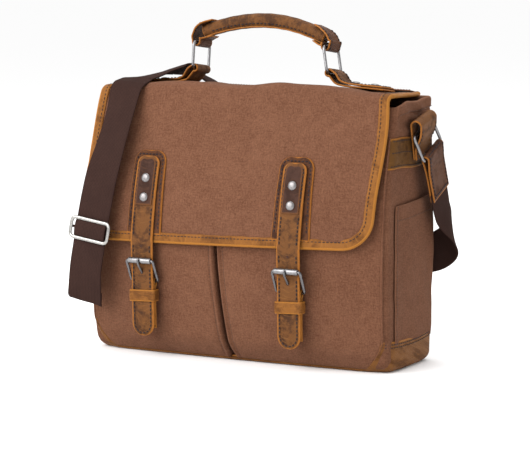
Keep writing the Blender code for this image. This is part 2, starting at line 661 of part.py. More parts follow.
    # roller: a sleeve that turns on the outer bar
    roller = pivot(side + "_roller", bar_a, tail)
    ring_o = [[(xs + s * ROLLER_L / 2, bar_a.y + ROLLER_R * math.cos(a), bar_a.z + ROLLER_R * math.sin(a))
               for a in np.linspace(0, 2 * math.pi, 17)[:-1]] for s in (-0.93, 0.93)]
    ring_i = [[(xs + s * ROLLER_L / 2, bar_a.y + ROLLER_BORE * math.cos(a), bar_a.z + ROLLER_BORE * math.sin(a))
               for a in np.linspace(0, 2 * math.pi, 17)[:-1]] for s in (-0.93, 0.93)]
    two_sided(side + "_buckle_roller", ring_o, ring_i, (GUN, 0.25, 1.0), wrap=True, parent=roller)

    # prong: an eye round the heel bar, then up through the strap's slot onto the roller
    prong = pivot(side + "_prong", bar_b, tail)
    wire = 0.0010
    eye = WIRE_R + 0.0004 + wire
    pts = []
    for k in range(9):
        ang = math.radians(-20 - 250 * k / 8)
        pts.append(bar_b + Vector((0, eye * math.cos(ang), eye * math.sin(ang))))
    slot_y, slot_z = tail_y(0.0985), 0.0985
    pts += [Vector((xs, slot_y + 0.0030, 0.0945)), Vector((xs, slot_y - 0.0006, 0.0995)),
            Vector((xs, roller_y - ROLLER_R * 0.55 - 0.0012, ROLLER_Z - 0.0045)),
            Vector((xs, roller_y - ROLLER_R - wire - 0.0004, ROLLER_Z - 0.0005)),
            Vector((xs, roller_y - ROLLER_R - wire - 0.0001, ROLLER_Z + 0.0015))]
    tube(side + "_buckle_prong", pts, wire, (GUN, 0.25, 1.0), parent=prong, sides=2)

    # chape: folded round the heel bar, two layers down behind the tail
    t = 0.0018
    r_mid = WIRE_R + 0.0004 + t / 2
    back_y0 = heel_y + r_mid
    line = [(tail_y(CHAPE_END_Z + 0.002) + STRAP_T / 2 + GAP + t / 2 + 0.0006, CHAPE_END_Z + 0.004)]
    line.append((tail_y(0.060) + STRAP_T / 2 + GAP + t / 2 + 0.0002, 0.060))
    line.append((tail_y(0.079) + STRAP_T / 2 + GAP + t / 2 + 0.0002, 0.0785))
    line.append((heel_y - r_mid + 0.0001, HEEL_Z - 0.003))
    for k in range(7):
        ang = math.radians(180 - 180 * k / 6)
        line.append((heel_y + r_mid * math.cos(ang), HEEL_Z + r_mid * math.sin(ang)))
    line.append((heel_y + r_mid - 0.0002, HEEL_Z - 0.003))
    line.append((tail_y(0.0785) + STRAP_T / 2 + GAP + 1.5 * t + 0.0014, 0.0785))
    line.append((tail_y(0.055) + STRAP_T / 2 + GAP + 1.5 * t + 0.0010, 0.055))
    line.append((tail_y(CHAPE_END_Z) + STRAP_T / 2 + GAP + 1.5 * t + 0.0012, CHAPE_END_Z))
    body = band(side + "_buckle_chape", [(xs, y, z) for y, z in line], (1, 0, 0), 0.0140, t,
                (BIND, 0.6), parent=tail)
    cut_box(body, (xs - 0.0022, heel_y - 0.0062, HEEL_Z - 0.0040), (xs + 0.0022, heel_y + 0.0062, HEEL_Z + 0.0075))

    # keeper: a loop round the tail and both layers of the chape
    kt = 0.0014
    y_f = tail_y(KEEPER_Z0) - STRAP_T / 2 - 0.0008
    y_b = tail_y(0.070) + STRAP_T / 2 + GAP + 2 * t + 0.0012 + 0.0009
    outer, inner = [], []
    for z in (KEEPER_Z0, KEEPER_Z1):
        cy, hy = (y_f + y_b) / 2, (y_b - y_f) / 2
        outer.append([(xs + a, cy + b, z) for a, b in rounded_rectangle(0.0155 + kt, hy + kt, 0.0025, 3)])
        inner.append([(xs + a, cy + b, z) for a, b in rounded_rectangle(0.0155, hy, 0.0011, 3)])
    two_sided(side + "_keeper", outer, inner, (BIND, 0.55), wrap=True, parent=tail)

# ---------------------------------------------------------------- handle
axis_v = (on_top(0, 1, 0) - on_top(0, 0, 0))
normal = (on_top(0, 0, 1) - on_top(0, 0, 0))
HANDLE_T = -HANDLE_V / (seam_y - join[0]) * math.cos(TOP_SLOPE)
bars = {side: tuple(on_top(x, HANDLE_V, n) for x, n in RING_BARS[side]) for side in RING_BARS}


def top_at(x):
    """Height of the flap's outer face above its plane, under the handle."""
    return top_sag(x, HANDLE_T)


for side, sign in (("left", -1), ("right", 1)):
    t = 0.0022
    bx, bn = RING_BARS[side][0]
    bx = abs(bx)
    # folded base: lower layer from its outer end to the loop, round the bar, back along the top
    foot = 0.0008 + t / 2
    line = [(x, top_at(sign * x) + foot) for x in (0.1570, 0.1450, 0.1330, 0.1210, 0.1120)]
    line.append((bx + 0.0160, top_at(sign * (bx + 0.016)) + foot + 0.0008))
    line.append((bx + 0.0085, top_at(sign * (bx + 0.0085)) + foot + 0.0030))
    r_mid = RING_WIRE + 0.0012 + t / 2
    for k in range(10):
        ang = math.radians(-75 - 215 * k / 9)
        line.append((bx + r_mid * math.cos(ang), bn + r_mid * math.sin(ang)))
    line.append((bx + 0.0090, bn - 0.0010))
    second = foot + t + 0.0006
    line.append((bx + 0.0150, top_at(sign * (bx + 0.015)) + second + 0.0032))
    line += [(x, top_at(sign * x) + second + extra) for x, extra in
             ((0.1120, 0.0004), (0.1210, 0), (0.1330, 0), (0.1450, 0), (0.1555, 0))]
    path = [on_top(sign * x, HANDLE_V, n) for x, n in line]
    band(side + "_handle_base", path, axis_v, HANDLE_W / 2, t, (LEATHER, 0.55), parent=flap_top)
    for place, x in (("inner", 0.1150), ("outer", 0.1390)):
        slope = (top_at(sign * (x + 0.004)) - top_at(sign * (x - 0.004))) / 0.008
        lean = Vector(normal) - Vector((sign, 0, 0)) * slope
        lathe(f"{side}_{place}_base_rivet", on_top(sign * x, HANDLE_V, top_at(sign * x) + second + t / 2 + 0.0007
                                                   + (0.0006 if place == "inner" else 0)), lean,
              ((0, 0), (0.0046, 0), (0.0046, 0.0006), (0.0036, 0.0013), (0, 0.0016)), (NICKEL, 0.25, 1.0),
              sides=12, parent=flap_top)

left_ring = pivot("left_handle_ring_pivot", bars["left"][0], flap_top)
handle = pivot("handle_pivot", bars["left"][1], left_ring)
right_ring = pivot("right_handle_ring_pivot", bars["right"][0], flap_top)
for side, sign, place in (("left", -1, left_ring), ("right", 1, right_ring)):
    low, high = bars[side]
    centre = (low + high) / 2
    up = (high - low).normalized()
    half_h = (high - low).length / 2
    half_v = HANDLE_W / 2 + 0.0012 + RING_WIRE
    loop = [centre + axis_v * a + up * b for a, b in rounded_rectangle(half_v, half_h, 0.0050, 3)]
    tube(side + "_handle_ring", loop, RING_WIRE, (GUN, 0.25, 1.0), parent=place, cyclic=True)

# grip: a rolled leather arch between the two upper bars
GRIP_ENDS = ((-0.0860, 0.0625), (0.0735, 0.0575))   # (X, height) of its ends
CROWN = (-0.0080, 0.0765)
pts = []
for u in np.linspace(-1, 1, 13):
    end = GRIP_ENDS[0] if u < 0 else GRIP_ENDS[1]
    x = CROWN[0] + (end[0] - CROWN[0]) * abs(u)
    n = CROWN[1] - (CROWN[1] - end[1]) * abs(u) ** 2.0
    pts.append(on_top(x, HANDLE_V, n))
tube("handle_grip", pts, GRIP_R, (LEATHER, 0.5), parent=handle, sides=3)
for side, sign, end in (("left", -1, GRIP_ENDS[0]), ("right", 1, GRIP_ENDS[1])):
    t = 0.0020
    bx, bn = RING_BARS[side][1]
    bx = abs(bx)
    ex, en = abs(end[0]), end[1]
    r_mid = RING_WIRE + 0.0022 + t / 2
    # loop from the grip's end round the upper bar and back
    line = [(ex + 0.0062, en + 0.0030), (max(ex + 0.0095, bx + 0.0040), en - 0.0030),
            (bx + r_mid + 0.0012, bn + 0.0055)]
    for k in range(9):
        ang = math.radians(5 - 190 * k / 8)
        line.append((bx + r_mid * math.cos(ang), bn + r_mid * math.sin(ang)))
    line += [(bx - r_mid + 0.0002, bn + 0.0040), (ex + 0.0040, en - 0.0062), (ex + 0.0046, en - 0.0028)]
    path = [on_top(sign * x, HANDLE_V, n) for x, n in line]
    band(side + "_handle_loop", path, axis_v, HANDLE_W / 2 - 0.001, t, (BIND, 0.5), parent=handle)

# ---------------------------------------------------------------- side rings and strap ends
SIDE_TILT = {"left": math.radians(-24), "right": math.radians(24)}
CHAPE_TILT = {"left": math.radians(-14), "right": math.radians(14)}
RING_LEAN = math.radians(13)


def turned(point, about, angle):
    """Turns a point about an axis along X through a point."""
    p = Vector(point) - Vector(about)
    c, s = math.cos(angle), math.sin(angle)
    return Vector((p.x, p.y * c - p.z * s, p.y * s + p.z * c)) + Vector(about)


tab_end = {}
for side, sign in (("left", -1), ("right", 1)):
    bar = Vector((sign * SIDE_BAR[0], SIDE_BAR[1], SIDE_BAR[2]))
    tilt = SIDE_TILT[side]
    # chape: folded at the top, both ends sewn to the side band
    t = 0.0020
    x_in = HALF_W + 0.0020 + 2 * GAP + t / 2
    line = [(x_in, 0.2400), (x_in, 0.2600), (x_in, 0.2760)]
    for k in range(9):
        ang = math.radians(180 - 180 * k / 8)
        line.append((x_in + 0.0065 + 0.0065 * math.cos(ang), 0.2785 + 0.0065 * math.sin(ang)))
    line += [(x_in + 0.0116, 0.2690), (x_in + 0.0085, 0.2620), (x_in + 0.0045, 0.2560), (x_in + 0.0026, 0.2500),
             (x_in + 0.0024, 0.2395)]
    path = [turned((sign * x, SIDE_BAR[1], z), bar, CHAPE_TILT[side]) for x, z in line]
    across = Vector((0, math.cos(CHAPE_TILT[side]), math.sin(CHAPE_TILT[side])))
    band(side + "_ring_chape", path, across, CHAPE_W / 2, t, (BIND, 0.55), parent=bag)

    end = pivot(side + "_strap_end", bar, bag)
    across = Vector((0, math.cos(tilt), math.sin(tilt)))
    down = Vector((sign * math.sin(RING_LEAN), 0, -math.cos(RING_LEAN)))
    down = Vector((down.x, -down.z * math.sin(tilt), down.z * math.cos(tilt)))
    centre = bar + down * SIDE_RING_H / 2
    half_w = SIDE_RING_W / 2 + SIDE_WIRE
    loop = [centre + across * a + down * b
            for a, b in rounded_rectangle(half_w, SIDE_RING_H / 2, 0.0030, 3)]
    tube(side + "_side_ring", loop, SIDE_WIRE, (GUN, 0.25, 1.0), parent=end, cyclic=True)

    # leather tab folded round the lower bar, hanging straight down along the tilted line
    low_bar = bar + down * SIDE_RING_H
    hang = Vector((0, math.sin(tilt), -math.cos(tilt)))
    out = Vector((sign, 0, 0))
    r_mid = SIDE_WIRE + 0.0010 + t / 2
    line = [(0.0016, TAB_L), (0.0016, 0.020), (0.0026, 0.009)]
    for k in range(8):
        ang = math.radians(-10 + 200 * k / 7)
        line.append((r_mid * math.cos(ang), -r_mid * math.sin(ang)))
    line += [(-0.0026, 0.009), (-0.0016, 0.020), (-0.0016, TAB_L)]
    path = [low_bar + out * a + hang * b for a, b in line]
    band(side + "_strap_tab", path, across, TAB_W / 2, t, (LEATHER, 0.55), parent=end)
    tab_end[side] = (low_bar + hang * TAB_L, hang, across)


# ---------------------------------------------------------------- shoulder webbing
def web(name, stations, count, parent):
    """Webbing along stations of (centre, normal)."""
    centre = through([s[0] for s in stations], count)
    facing = through([s[1] for s in stations], count)
    tangent = np.gradient(centre, axis=0)
    tangent /= np.linalg.norm(tangent, axis=1)[:, None]
    wide = np.cross(facing, tangent)
    wide /= np.linalg.norm(wide, axis=1)[:, None]
    normal_ = np.cross(tangent, wide)
    front = [[centre[i] + normal_[i] * WEB_T / 2 + s * wide[i] * WEB_W / 2 for s in (-1, 0, 1)] for i in range(count)]
    back = [[centre[i] - normal_[i] * WEB_T / 2 + s * wide[i] * WEB_W / 2 for s in (-1, 0, 1)] for i in range(count)]
    return two_sided(name, front, back, (WEB, 0.85), parent=parent)


place, hang, across = tab_end["right"]
start = place + hang * 0.0030
web("webbing_back_run", [
    (start, (1, 0, 0)),
    (start + hang * 0.020, (1, 0.05, 0)),
    ((0.2130, 0.0680, 0.1500), (0.85, 0.5, 0)),
    ((0.2000, 0.0770, 0.1290), (0.25, 1, 0)),
    ((0.1700, 0.0720, 0.1180), (0, 1, 0)),
    ((0.0900, 0.0690, 0.1200), (0, 1, 0)),
    ((0.0000, 0.0680, 0.1600), (0, 1, 0)),
    ((-0.0600, 0.0665, 0.2200), (0, 1, 0)),
    ((-0.0830, 0.0655, 0.2560), (0, 1, 0)),
    ((-0.0885, 0.0650, 0.2720), (0, 1, 0.05)),
], 26, bag)

place, hang, across = tab_end["left"]
FOLD = Vector((-0.1945, -0.0840, 0.0600))
start = place + hang * 0.0040
run = FOLD - start
web("webbing_left_run", [
    (start, (-1, 0, 0)),
    (start + run * 0.33 + Vector((-0.004, 0, 0)), (-1, 0, 0)),
    (start + run * 0.66 + Vector((-0.004, 0, 0)), (-1, -0.15, 0)),
    (start + run * 0.93 + Vector((-0.001, 0.004, 0)), (-1, -0.6, 0)),
], 8, bag)

web("webbing_top_run", [
    (on_top(-0.0945, -0.0050, 0.0040), (0, 0.12, 1)),
    (on_top(-0.1190, -0.0070, 0.0185), (-0.28, 0.12, 1)),
    (on_top(-0.1350, -0.0230, 0.0212), (-0.34, 0.12, 1)),
    (on_top(-0.1330, -0.0430, 0.0155), (-0.25, 0.12, 1)),
    (on_top(-0.1375, -0.0600, 0.0110), (-0.15, 0.12, 1)),
    (on_top(-0.1425, -0.0780, 0.0055), (-0.05, 0.12, 1)),
    (on_top(-0.1460, -0.0925, 0.0030), (0, 0.0, 1)),
], 12, flap_top)

# straight stretch down the front, which the slider runs on
RUN_A = Vector((-0.1655, -0.0935, 0.1950))
RUN_B = Vector((-0.1780, -0.1020, 0.1080))
run_dir = (RUN_B - RUN_A).normalized()
facing = (-0.05, -1, -0.10)
web("webbing_front_run", [
    (Vector((-0.1475, BEND_Y - 0.0085, BEND_Z + BEND_R - 0.0020)), (0, -0.55, 0.85)),
    (Vector((-0.1490, BEND_Y - BEND_R - 0.0045, BEND_Z + 0.0020)), (-0.1, -1, 0.3)),
    (Vector((-0.1515, -0.0680, 0.2800)), (-0.22, -1, 0.0)),
    (Vector((-0.1560, -0.0810, 0.2450)), (-0.22, -1, -0.1)),
    (RUN_A, facing), (RUN_A.lerp(RUN_B, 0.5), facing), (RUN_B, facing),
    (Vector((-0.1815, -0.1010, 0.0850)), (0.15, -1, 0.0)),
    (Vector((-0.1845, -0.0970, 0.0650)), (0.36, -1, 0.1)),
], 22, flap_front)

# slider: rounded frame in front of the webbing with its centre bar behind it
slide_t = 0.575
mid = RUN_A.lerp(RUN_B, slide_t)
face = (Vector(facing) - run_dir * Vector(facing).dot(run_dir)).normalized()
wide = run_dir.cross(face).normalized()
slider = pivot("strap_slider_pivot", mid, flap_front)
plate = mid + face * (WEB_T / 2 + 0.0022)
outer_loop = rounded_rectangle(0.0280, 0.0132, 0.0055, 3)


def slider_point(a, b, c):
    return plate + wide * a + run_dir * b + face * c


frame_o = [[slider_point(a, b, c) for a, b in outer_loop] for c in (-0.0014, 0.0014)]
frame_i = [[slider_point(a, b, c) for a, b in rounded_rectangle(0.0240, 0.0096, 0.0024, 3)]
           for c in (-0.0014, 0.0014)]
two_sided("strap_slider", frame_o, frame_i, (NICKEL, 0.2, 1.0), wrap=True, parent=slider)
# its centre bar, carried behind the webbing by two short arms
arms = [slider_point(a, 0, c) for a, c in ((-0.0262, 0.0004), (-0.0258, -0.0036), (-0.0236, -0.0062), (0.0236, -0.0062),
                                           (0.0258, -0.0036), (0.0262, 0.0004))]
front, back = strip(arms, run_dir, 0.0022, 0.0018)
bar = two_sided("strap_slider_bar", front, back, (NICKEL, 0.2, 1.0))
bar.hide_render = True
bar.display_type = "WIRE"
joined = bpy.data.objects["strap_slider"].modifiers.new("centre_bar", "BOOLEAN")
joined.operation = "UNION"
joined.solver = "EXACT"
joined.object = bar
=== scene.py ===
"""Looks of the canvas and leather camera bag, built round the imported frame. Metres, +Z up, the front faces -Y."""
import bpy
import bmesh
import json
import math
import numpy as np
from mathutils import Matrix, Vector

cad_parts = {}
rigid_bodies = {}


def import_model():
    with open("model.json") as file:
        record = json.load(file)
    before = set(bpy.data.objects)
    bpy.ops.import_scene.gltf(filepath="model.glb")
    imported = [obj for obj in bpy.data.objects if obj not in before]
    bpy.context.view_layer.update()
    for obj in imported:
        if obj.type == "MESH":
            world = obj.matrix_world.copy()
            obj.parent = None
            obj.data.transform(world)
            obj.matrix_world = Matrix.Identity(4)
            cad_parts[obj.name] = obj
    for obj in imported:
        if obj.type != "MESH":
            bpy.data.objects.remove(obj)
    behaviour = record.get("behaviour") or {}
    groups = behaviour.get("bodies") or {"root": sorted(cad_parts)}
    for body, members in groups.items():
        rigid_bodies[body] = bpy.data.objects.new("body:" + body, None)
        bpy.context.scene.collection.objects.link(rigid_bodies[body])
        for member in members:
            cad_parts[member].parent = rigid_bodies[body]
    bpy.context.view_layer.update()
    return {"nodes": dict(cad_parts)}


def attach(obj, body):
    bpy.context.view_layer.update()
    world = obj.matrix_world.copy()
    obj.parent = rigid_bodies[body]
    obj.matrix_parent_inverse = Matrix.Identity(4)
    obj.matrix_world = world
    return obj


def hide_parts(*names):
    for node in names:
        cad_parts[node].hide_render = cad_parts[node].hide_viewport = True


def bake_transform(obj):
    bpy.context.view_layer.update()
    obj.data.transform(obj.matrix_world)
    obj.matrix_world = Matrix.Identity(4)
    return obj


for old in list(bpy.data.objects):
    bpy.data.objects.remove(old, do_unlink=True)
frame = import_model()

# ---------------------------------------------------------------- camera, light, floor
AZ, EL, DIST = math.radians(28.43), math.radians(6.93), 2.567
TARGET = Vector((0.005, 0.0, 0.149))
cam_data = bpy.data.cameras.new("camera")
cam_data.sensor_width = 36.0
cam_data.lens = 149.4
cam_data.clip_end = 200.0
camera = bpy.data.objects.new("camera", cam_data)
bpy.context.scene.collection.objects.link(camera)
back = Vector((math.sin(AZ) * math.cos(EL), -math.cos(AZ) * math.cos(EL), math.sin(EL)))
camera.location = TARGET + back * DIST
camera.rotation_mode = "QUATERNION"
camera.rotation_quaternion = (-back).to_track_quat("-Z", "Y")
bpy.context.scene.camera = camera
bpy.context.scene.view_settings.view_transform = "Standard"

world = bpy.data.worlds.new("studio")
bpy.context.scene.world = world
world.use_nodes = True
world.node_tree.nodes["Background"].inputs[0].default_value = (1.0, 1.0, 1.0, 1.0)
world.node_tree.nodes["Background"].inputs[1].default_value = 1.0


def lamp(name, place, aim, size, power):
    data = bpy.data.lights.new(name, "AREA")
    data.shape = "RECTANGLE"
    data.size, data.size_y = size
    data.energy = power
    obj = bpy.data.objects.new(name, data)
    bpy.context.scene.collection.objects.link(obj)
    obj.location = place
    obj.rotation_mode = "QUATERNION"
    obj.rotation_quaternion = (Vector(aim) - Vector(place)).to_track_quat("-Z", "Y")


lamp("key", (-1.05, -2.05, 1.6), (0, 0, 0.15), (2.6, 2.2), 84)
lamp("top", (0.0, 0.6, 2.2), (0, 0, 0.2), (1.6, 1.2), 20)


# ---------------------------------------------------------------- procedural materials
class Look:
    """A Principled material and short names for its nodes."""

    def __init__(self, name, rough=0.8, metal=0.0, **sockets):
        self.mat = bpy.data.materials.new(name)
        self.mat.use_nodes = True
        self.tree = self.mat.node_tree
        self.shader = self.tree.nodes["Principled BSDF"]
        self.shader.inputs["Roughness"].default_value = rough
        self.shader.inputs["Metallic"].default_value = metal
        for key, value in sockets.items():
            self.shader.inputs[key.replace("_", " ")].default_value = value
        uv = self.tree.nodes.new("ShaderNodeUVMap")
        uv.uv_map = "UVMap"
        self.uv = uv.outputs[0]

    def put(self, socket, value):
        if isinstance(value, bpy.types.NodeSocket):
            self.tree.links.new(value, socket)
        elif isinstance(value, tuple) and len(value) == 3 and socket.type == "RGBA":
            socket.default_value = (*value, 1.0)
        else:
            socket.default_value = value

    def math(self, op, a, b=0.0, c=0.0, clamp=False):
        node = self.tree.nodes.new("ShaderNodeMath")
        node.operation = op
        node.use_clamp = clamp
        for k, v in enumerate((a, b, c)):
            self.put(node.inputs[k], v)
        return node.outputs[0]

    def stretched(self, su, sv):
        node = self.tree.nodes.new("ShaderNodeVectorMath")
        node.operation = "MULTIPLY"
        self.put(node.inputs[0], self.uv)
        node.inputs[1].default_value = (su, sv, 1.0)
        return node.outputs[0]

    def noise(self, scale, detail=3.0, rough=0.6, vector=None, warp=0.0):
        node = self.tree.nodes.new("ShaderNodeTexNoise")
        self.put(node.inputs["Vector"], vector or self.uv)
        node.inputs["Scale"].default_value = scale
        node.inputs["Detail"].default_value = detail
        node.inputs["Roughness"].default_value = rough
        node.inputs["Distortion"].default_value = warp
        return node.outputs[0]

    def cells(self, scale, feature="F1"):
        node = self.tree.nodes.new("ShaderNodeTexVoronoi")
        node.feature = feature
        self.put(node.inputs["Vector"], self.uv)
        node.inputs["Scale"].default_value = scale
        return node.outputs["Distance"]

    def span(self, value, lo, hi, out_lo=0.0, out_hi=1.0):
        node = self.tree.nodes.new("ShaderNodeMapRange")
        node.interpolation_type = "SMOOTHSTEP"
        for k, v in enumerate((value, lo, hi, out_lo, out_hi)):
            self.put(node.inputs[k], v)
        return node.outputs[0]

    def mix(self, fac, a, b, blend="MIX"):
        node = self.tree.nodes.new("ShaderNodeMix")
        node.data_type = "RGBA"
        node.blend_type = blend
        self.put(node.inputs[0], fac)
        self.put(node.inputs[6], a)
        self.put(node.inputs[7], b)
        return node.outputs[2]

    def attribute(self, name):
        node = self.tree.nodes.new("ShaderNodeAttribute")
        node.attribute_name = name
        return node.outputs["Fac"]

    def split(self):
        node = self.tree.nodes.new("ShaderNodeSeparateXYZ")
        self.put(node.inputs[0], self.uv)
        return node.outputs[0], node.outputs[1]

    def wave(self, coord, pitch, phase=0.0):
        """0 to 1 wave along a coordinate in metres."""
        turn = self.math("MULTIPLY_ADD", coord, 2 * math.pi / pitch, phase)
        return self.math("MULTIPLY_ADD", self.math("SINE", turn), 0.5, 0.5)

    def bump(self, height, depth, strength=1.0, under=None):
        node = self.tree.nodes.new("ShaderNodeBump")
        node.inputs["Strength"].default_value = strength
        node.inputs["Distance"].default_value = depth
        self.put(node.inputs["Height"], height)
        if under is not None:
            self.put(node.inputs["Normal"], under)
        return node.outputs[0]

    def finish(self, colour, rough=None, normal=None):
        self.put(self.shader.inputs["Base Color"], colour)
        if rough is not None:
            self.put(self.shader.inputs["Roughness"], rough)
        if normal is not None:
            self.put(self.shader.inputs["Normal"], normal)
        return self.mat


def canvas(name, base, shade, light, seed=0.0):
    m = Look(name, 0.9, Sheen_Weight=0.03, Sheen_Roughness=0.6, Specular_IOR_Level=0.06)
    m.shader.inputs["Sheen Tint"].default_value = (0.95, 0.75, 0.62, 1.0)
    u, v = m.split()
    cloud = m.noise(11.0, 3.0, 0.55)
    blotch = m.noise(75.0, 4.0, 0.65)
    fleck = m.noise(430.0, 4.0, 0.80)
    slub_u = m.noise(1.0, 3.0, 0.6, m.stretched(90.0, 1500.0))
    slub_v = m.noise(1.0, 3.0, 0.6, m.stretched(1500.0, 90.0))
    tone = m.math("MULTIPLY_ADD", cloud, 0.45, m.math("MULTIPLY", blotch, 0.55))
    col = m.mix(m.span(tone, 0.36, 0.64), shade, light)
    col = m.mix(0.45, col, base)
    heather = m.math("MULTIPLY_ADD", slub_u, 0.35, m.math("MULTIPLY_ADD", slub_v, 0.35, m.math("MULTIPLY", fleck, 0.30)))
    speck = m.span(fleck, 0.38, 0.68)
    col = m.mix(m.span(heather, 0.40, 0.62, 0.0, 0.80), m.mix(1.0, col, (0.70, 0.66, 0.64), "MULTIPLY"), m.mix(0.45, col, light))
    col = m.mix(m.math("MULTIPLY", speck, 0.55), m.mix(1.0, col, (0.84, 0.82, 0.80), "MULTIPLY"), m.mix(0.35, col, light))
    worn = m.span(m.math("ADD", m.attribute("edge"), m.math("MULTIPLY_ADD", blotch, 0.8, -0.4)), 0.55, 1.2, 0.0, 0.5)
    col = m.mix(worn, col, light)
    warp, weft = m.wave(u, 0.00092), m.wave(v, 0.00092, 1.1)
    twill = m.wave(m.math("ADD", u, v), 0.0013)
    weave = m.math("MULTIPLY_ADD", warp, weft, m.math("MULTIPLY", twill, 0.35))
    n = m.bump(blotch, 0.0016, 0.5)
    n = m.bump(heather, 0.0010, 0.75, n)
    n = m.bump(weave, 0.00035, 0.65, n)
    return m.finish(col, m.span(heather, 0.3, 0.7, 0.95, 0.80), n)


def leather(name, base, deep, bright, edge=None, rough=0.5, mottle=0.55):
    """Waxed pull-up leather: dark clouds, light pulls and rubbed edges."""
    m = Look(name, rough, Specular_IOR_Level=0.07, Coat_Weight=0.0, Coat_Roughness=0.35)
    edge = edge or bright
    cloud = m.noise(34.0, 4.0, 0.62, warp=0.6)
    mid = m.noise(130.0, 5.0, 0.68)
    pull = m.noise(1.0, 4.0, 0.6, m.stretched(60.0, 420.0), 0.4)
    fine = m.noise(1300.0, 2.0, 0.6)
    tone = m.math("MULTIPLY_ADD", cloud, mottle, m.math("MULTIPLY", mid, 1 - mottle))
    col = m.mix(m.span(tone, 0.46, 0.60), base, deep)
    col = m.mix(m.span(pull, 0.54, 0.72, 0.0, 0.65), col, bright)
    col = m.mix(m.span(m.noise(520.0, 4.0, 0.7), 0.60, 0.74, 0.0, 0.45), col, deep)
    rub = m.math("ADD", m.attribute("edge"), m.math("MULTIPLY_ADD", mid, 0.9, -0.45))
    col = m.mix(m.span(rub, 0.40, 0.80, 0.0, 0.90), col, edge)
    col = m.mix(m.span(fine, 0.3, 0.7, 0.0, 0.22), col, m.mix(1.0, col, (0.55, 0.50, 0.46), "MULTIPLY"))
    crease = m.cells(900.0, "DISTANCE_TO_EDGE")
    n = m.bump(mid, 0.0007, 0.45)
    n = m.bump(m.span(crease, 0.0, 0.12), 0.00018, 0.6, n)
    n = m.bump(fine, 0.00022, 0.5, n)
    return m.finish(col, m.span(tone, 0.4, 0.65, rough - 0.06, rough + 0.14), n)


def cut_edge(name, base, deep):
    m = Look(name, 0.75, Specular_IOR_Level=0.3)
    fibres = m.noise(1.0, 3.0, 0.6, m.stretched(2600.0, 500.0))
    col = m.mix(m.span(m.noise(240.0, 3.0), 0.4, 0.7, 0.0, 0.7), base, deep)
    return m.finish(m.mix(m.span(fibres, 0.35, 0.7, 0.0, 0.35), col, deep), None, m.bump(fibres, 0.0003, 0.6))


def webbing_look(name, base, deep, light):
    m = Look(name, 0.85, Sheen_Weight=0.0, Sheen_Roughness=0.5, Specular_IOR_Level=0.03)
    u, v = m.split()
    rib = m.wave(v, 0.00150)
    chain = m.wave(m.math("MULTIPLY_ADD", m.math("ABSOLUTE", m.math("SINE", m.math("MULTIPLY", u, math.pi / 0.0050))),
                          0.0009, v), 0.00150, 0.6)
    column = m.wave(u, 0.0021)
    height = m.math("MULTIPLY_ADD", rib, 0.5, m.math("MULTIPLY_ADD", chain, 0.3, m.math("MULTIPLY", column, 0.2)))
    fuzz = m.noise(900.0, 3.0, 0.7)
    cloud = m.noise(30.0, 3.0)
    # the weave's low parts are darker: painted shade in its hollows
    col = m.mix(m.span(height, 0.15, 0.85), deep, base)
    col = m.mix(m.span(fuzz, 0.50, 0.80, 0.0, 0.45), col, light)
    col = m.mix(m.span(cloud, 0.35, 0.7, 0.0, 0.25), col, deep)
    n = m.bump(height, 0.0006, 0.8)
    return m.finish(col, 0.85, m.bump(fuzz, 0.0003, 0.5, n))


def plated(name, colour, dark, rough):
    m = Look(name, rough, 1.0)
    spot = m.noise(160.0, 4.0, 0.6)
    scratch = m.noise(1.0, 2.0, 0.5, m.stretched(2500.0, 130.0))
    col = m.mix(m.span(spot, 0.45, 0.75, 0.0, 0.5), colour, dark)
    return m.finish(col, m.span(scratch, 0.3, 0.75, rough * 0.75, rough * 1.6), m.bump(scratch, 0.00008, 0.35))


def thread(name, colour):
    m = Look(name, 0.6, Specular_IOR_Level=0.4)
    u, v = m.split()
    twist = m.wave(m.math("MULTIPLY_ADD", u, 1.0, v), 0.0009)
    # darker in the grooves of the twist: painted shade
    return m.finish(m.mix(m.span(twist, 0.1, 0.9), tuple(c * 0.6 for c in colour), colour), None, m.bump(twist, 0.0002, 0.8))


def lining(name, colour):
    m = Look(name, 0.95, Sheen_Weight=0.5, Sheen_Roughness=0.4, Specular_IOR_Level=0.2)
    fuzz = m.noise(1500.0, 4.0, 0.8)
    cloud = m.noise(26.0, 3.0)
    col = m.mix(m.span(cloud, 0.35, 0.65, 0.0, 0.6), colour, tuple(c * 1.6 for c in colour))
    col = m.mix(m.span(fuzz, 0.4, 0.7, 0.0, 0.4), col, tuple(c * 2.4 for c in colour))
    return m.finish(col, None, m.bump(fuzz, 0.0004, 0.7, m.bump(cloud, 0.003, 0.4)))


CANVAS = canvas("waxed_canvas", (0.172, 0.074, 0.041), (0.140, 0.058, 0.032), (0.228, 0.106, 0.062))
CANVAS_IN = canvas("canvas_inside", (0.125, 0.060, 0.036), (0.10, 0.048, 0.030), (0.16, 0.080, 0.050))
OLIVE = leather("leather_olive", (0.138, 0.056, 0.018), (0.062, 0.027, 0.013), (0.205, 0.088, 0.026), (0.33, 0.120, 0.020), 0.50)
TAN = leather("leather_tan", (0.225, 0.088, 0.020), (0.130, 0.050, 0.014), (0.290, 0.118, 0.027), (0.36, 0.145, 0.026), 0.50, 0.6)
BROWN = leather("leather_brown", (0.090, 0.035, 0.016), (0.048, 0.020, 0.012), (0.150, 0.060, 0.020), (0.33, 0.120, 0.020), 0.50)
# dark leather; the same look also makes the dark discs that stand for the punched holes and the prong slots, as painted
# shade
DARK_LEATHER_AND_HOLE_SHADE = leather("leather_dark", (0.056, 0.026, 0.018), (0.036, 0.017, 0.012), (0.085, 0.038, 0.021), (0.13, 0.052, 0.020), 0.52)
BANDED = leather("leather_band", (0.105, 0.046, 0.012), (0.055, 0.025, 0.010), (0.160, 0.074, 0.018), (0.29, 0.110, 0.020), 0.52)
BOOT = leather("leather_boot", (0.190, 0.078, 0.022), (0.115, 0.046, 0.015), (0.250, 0.105, 0.030), (0.32, 0.130, 0.028), 0.52, 0.6)
EDGE = cut_edge("leather_edge", (0.34, 0.122, 0.018), (0.21, 0.072, 0.014))
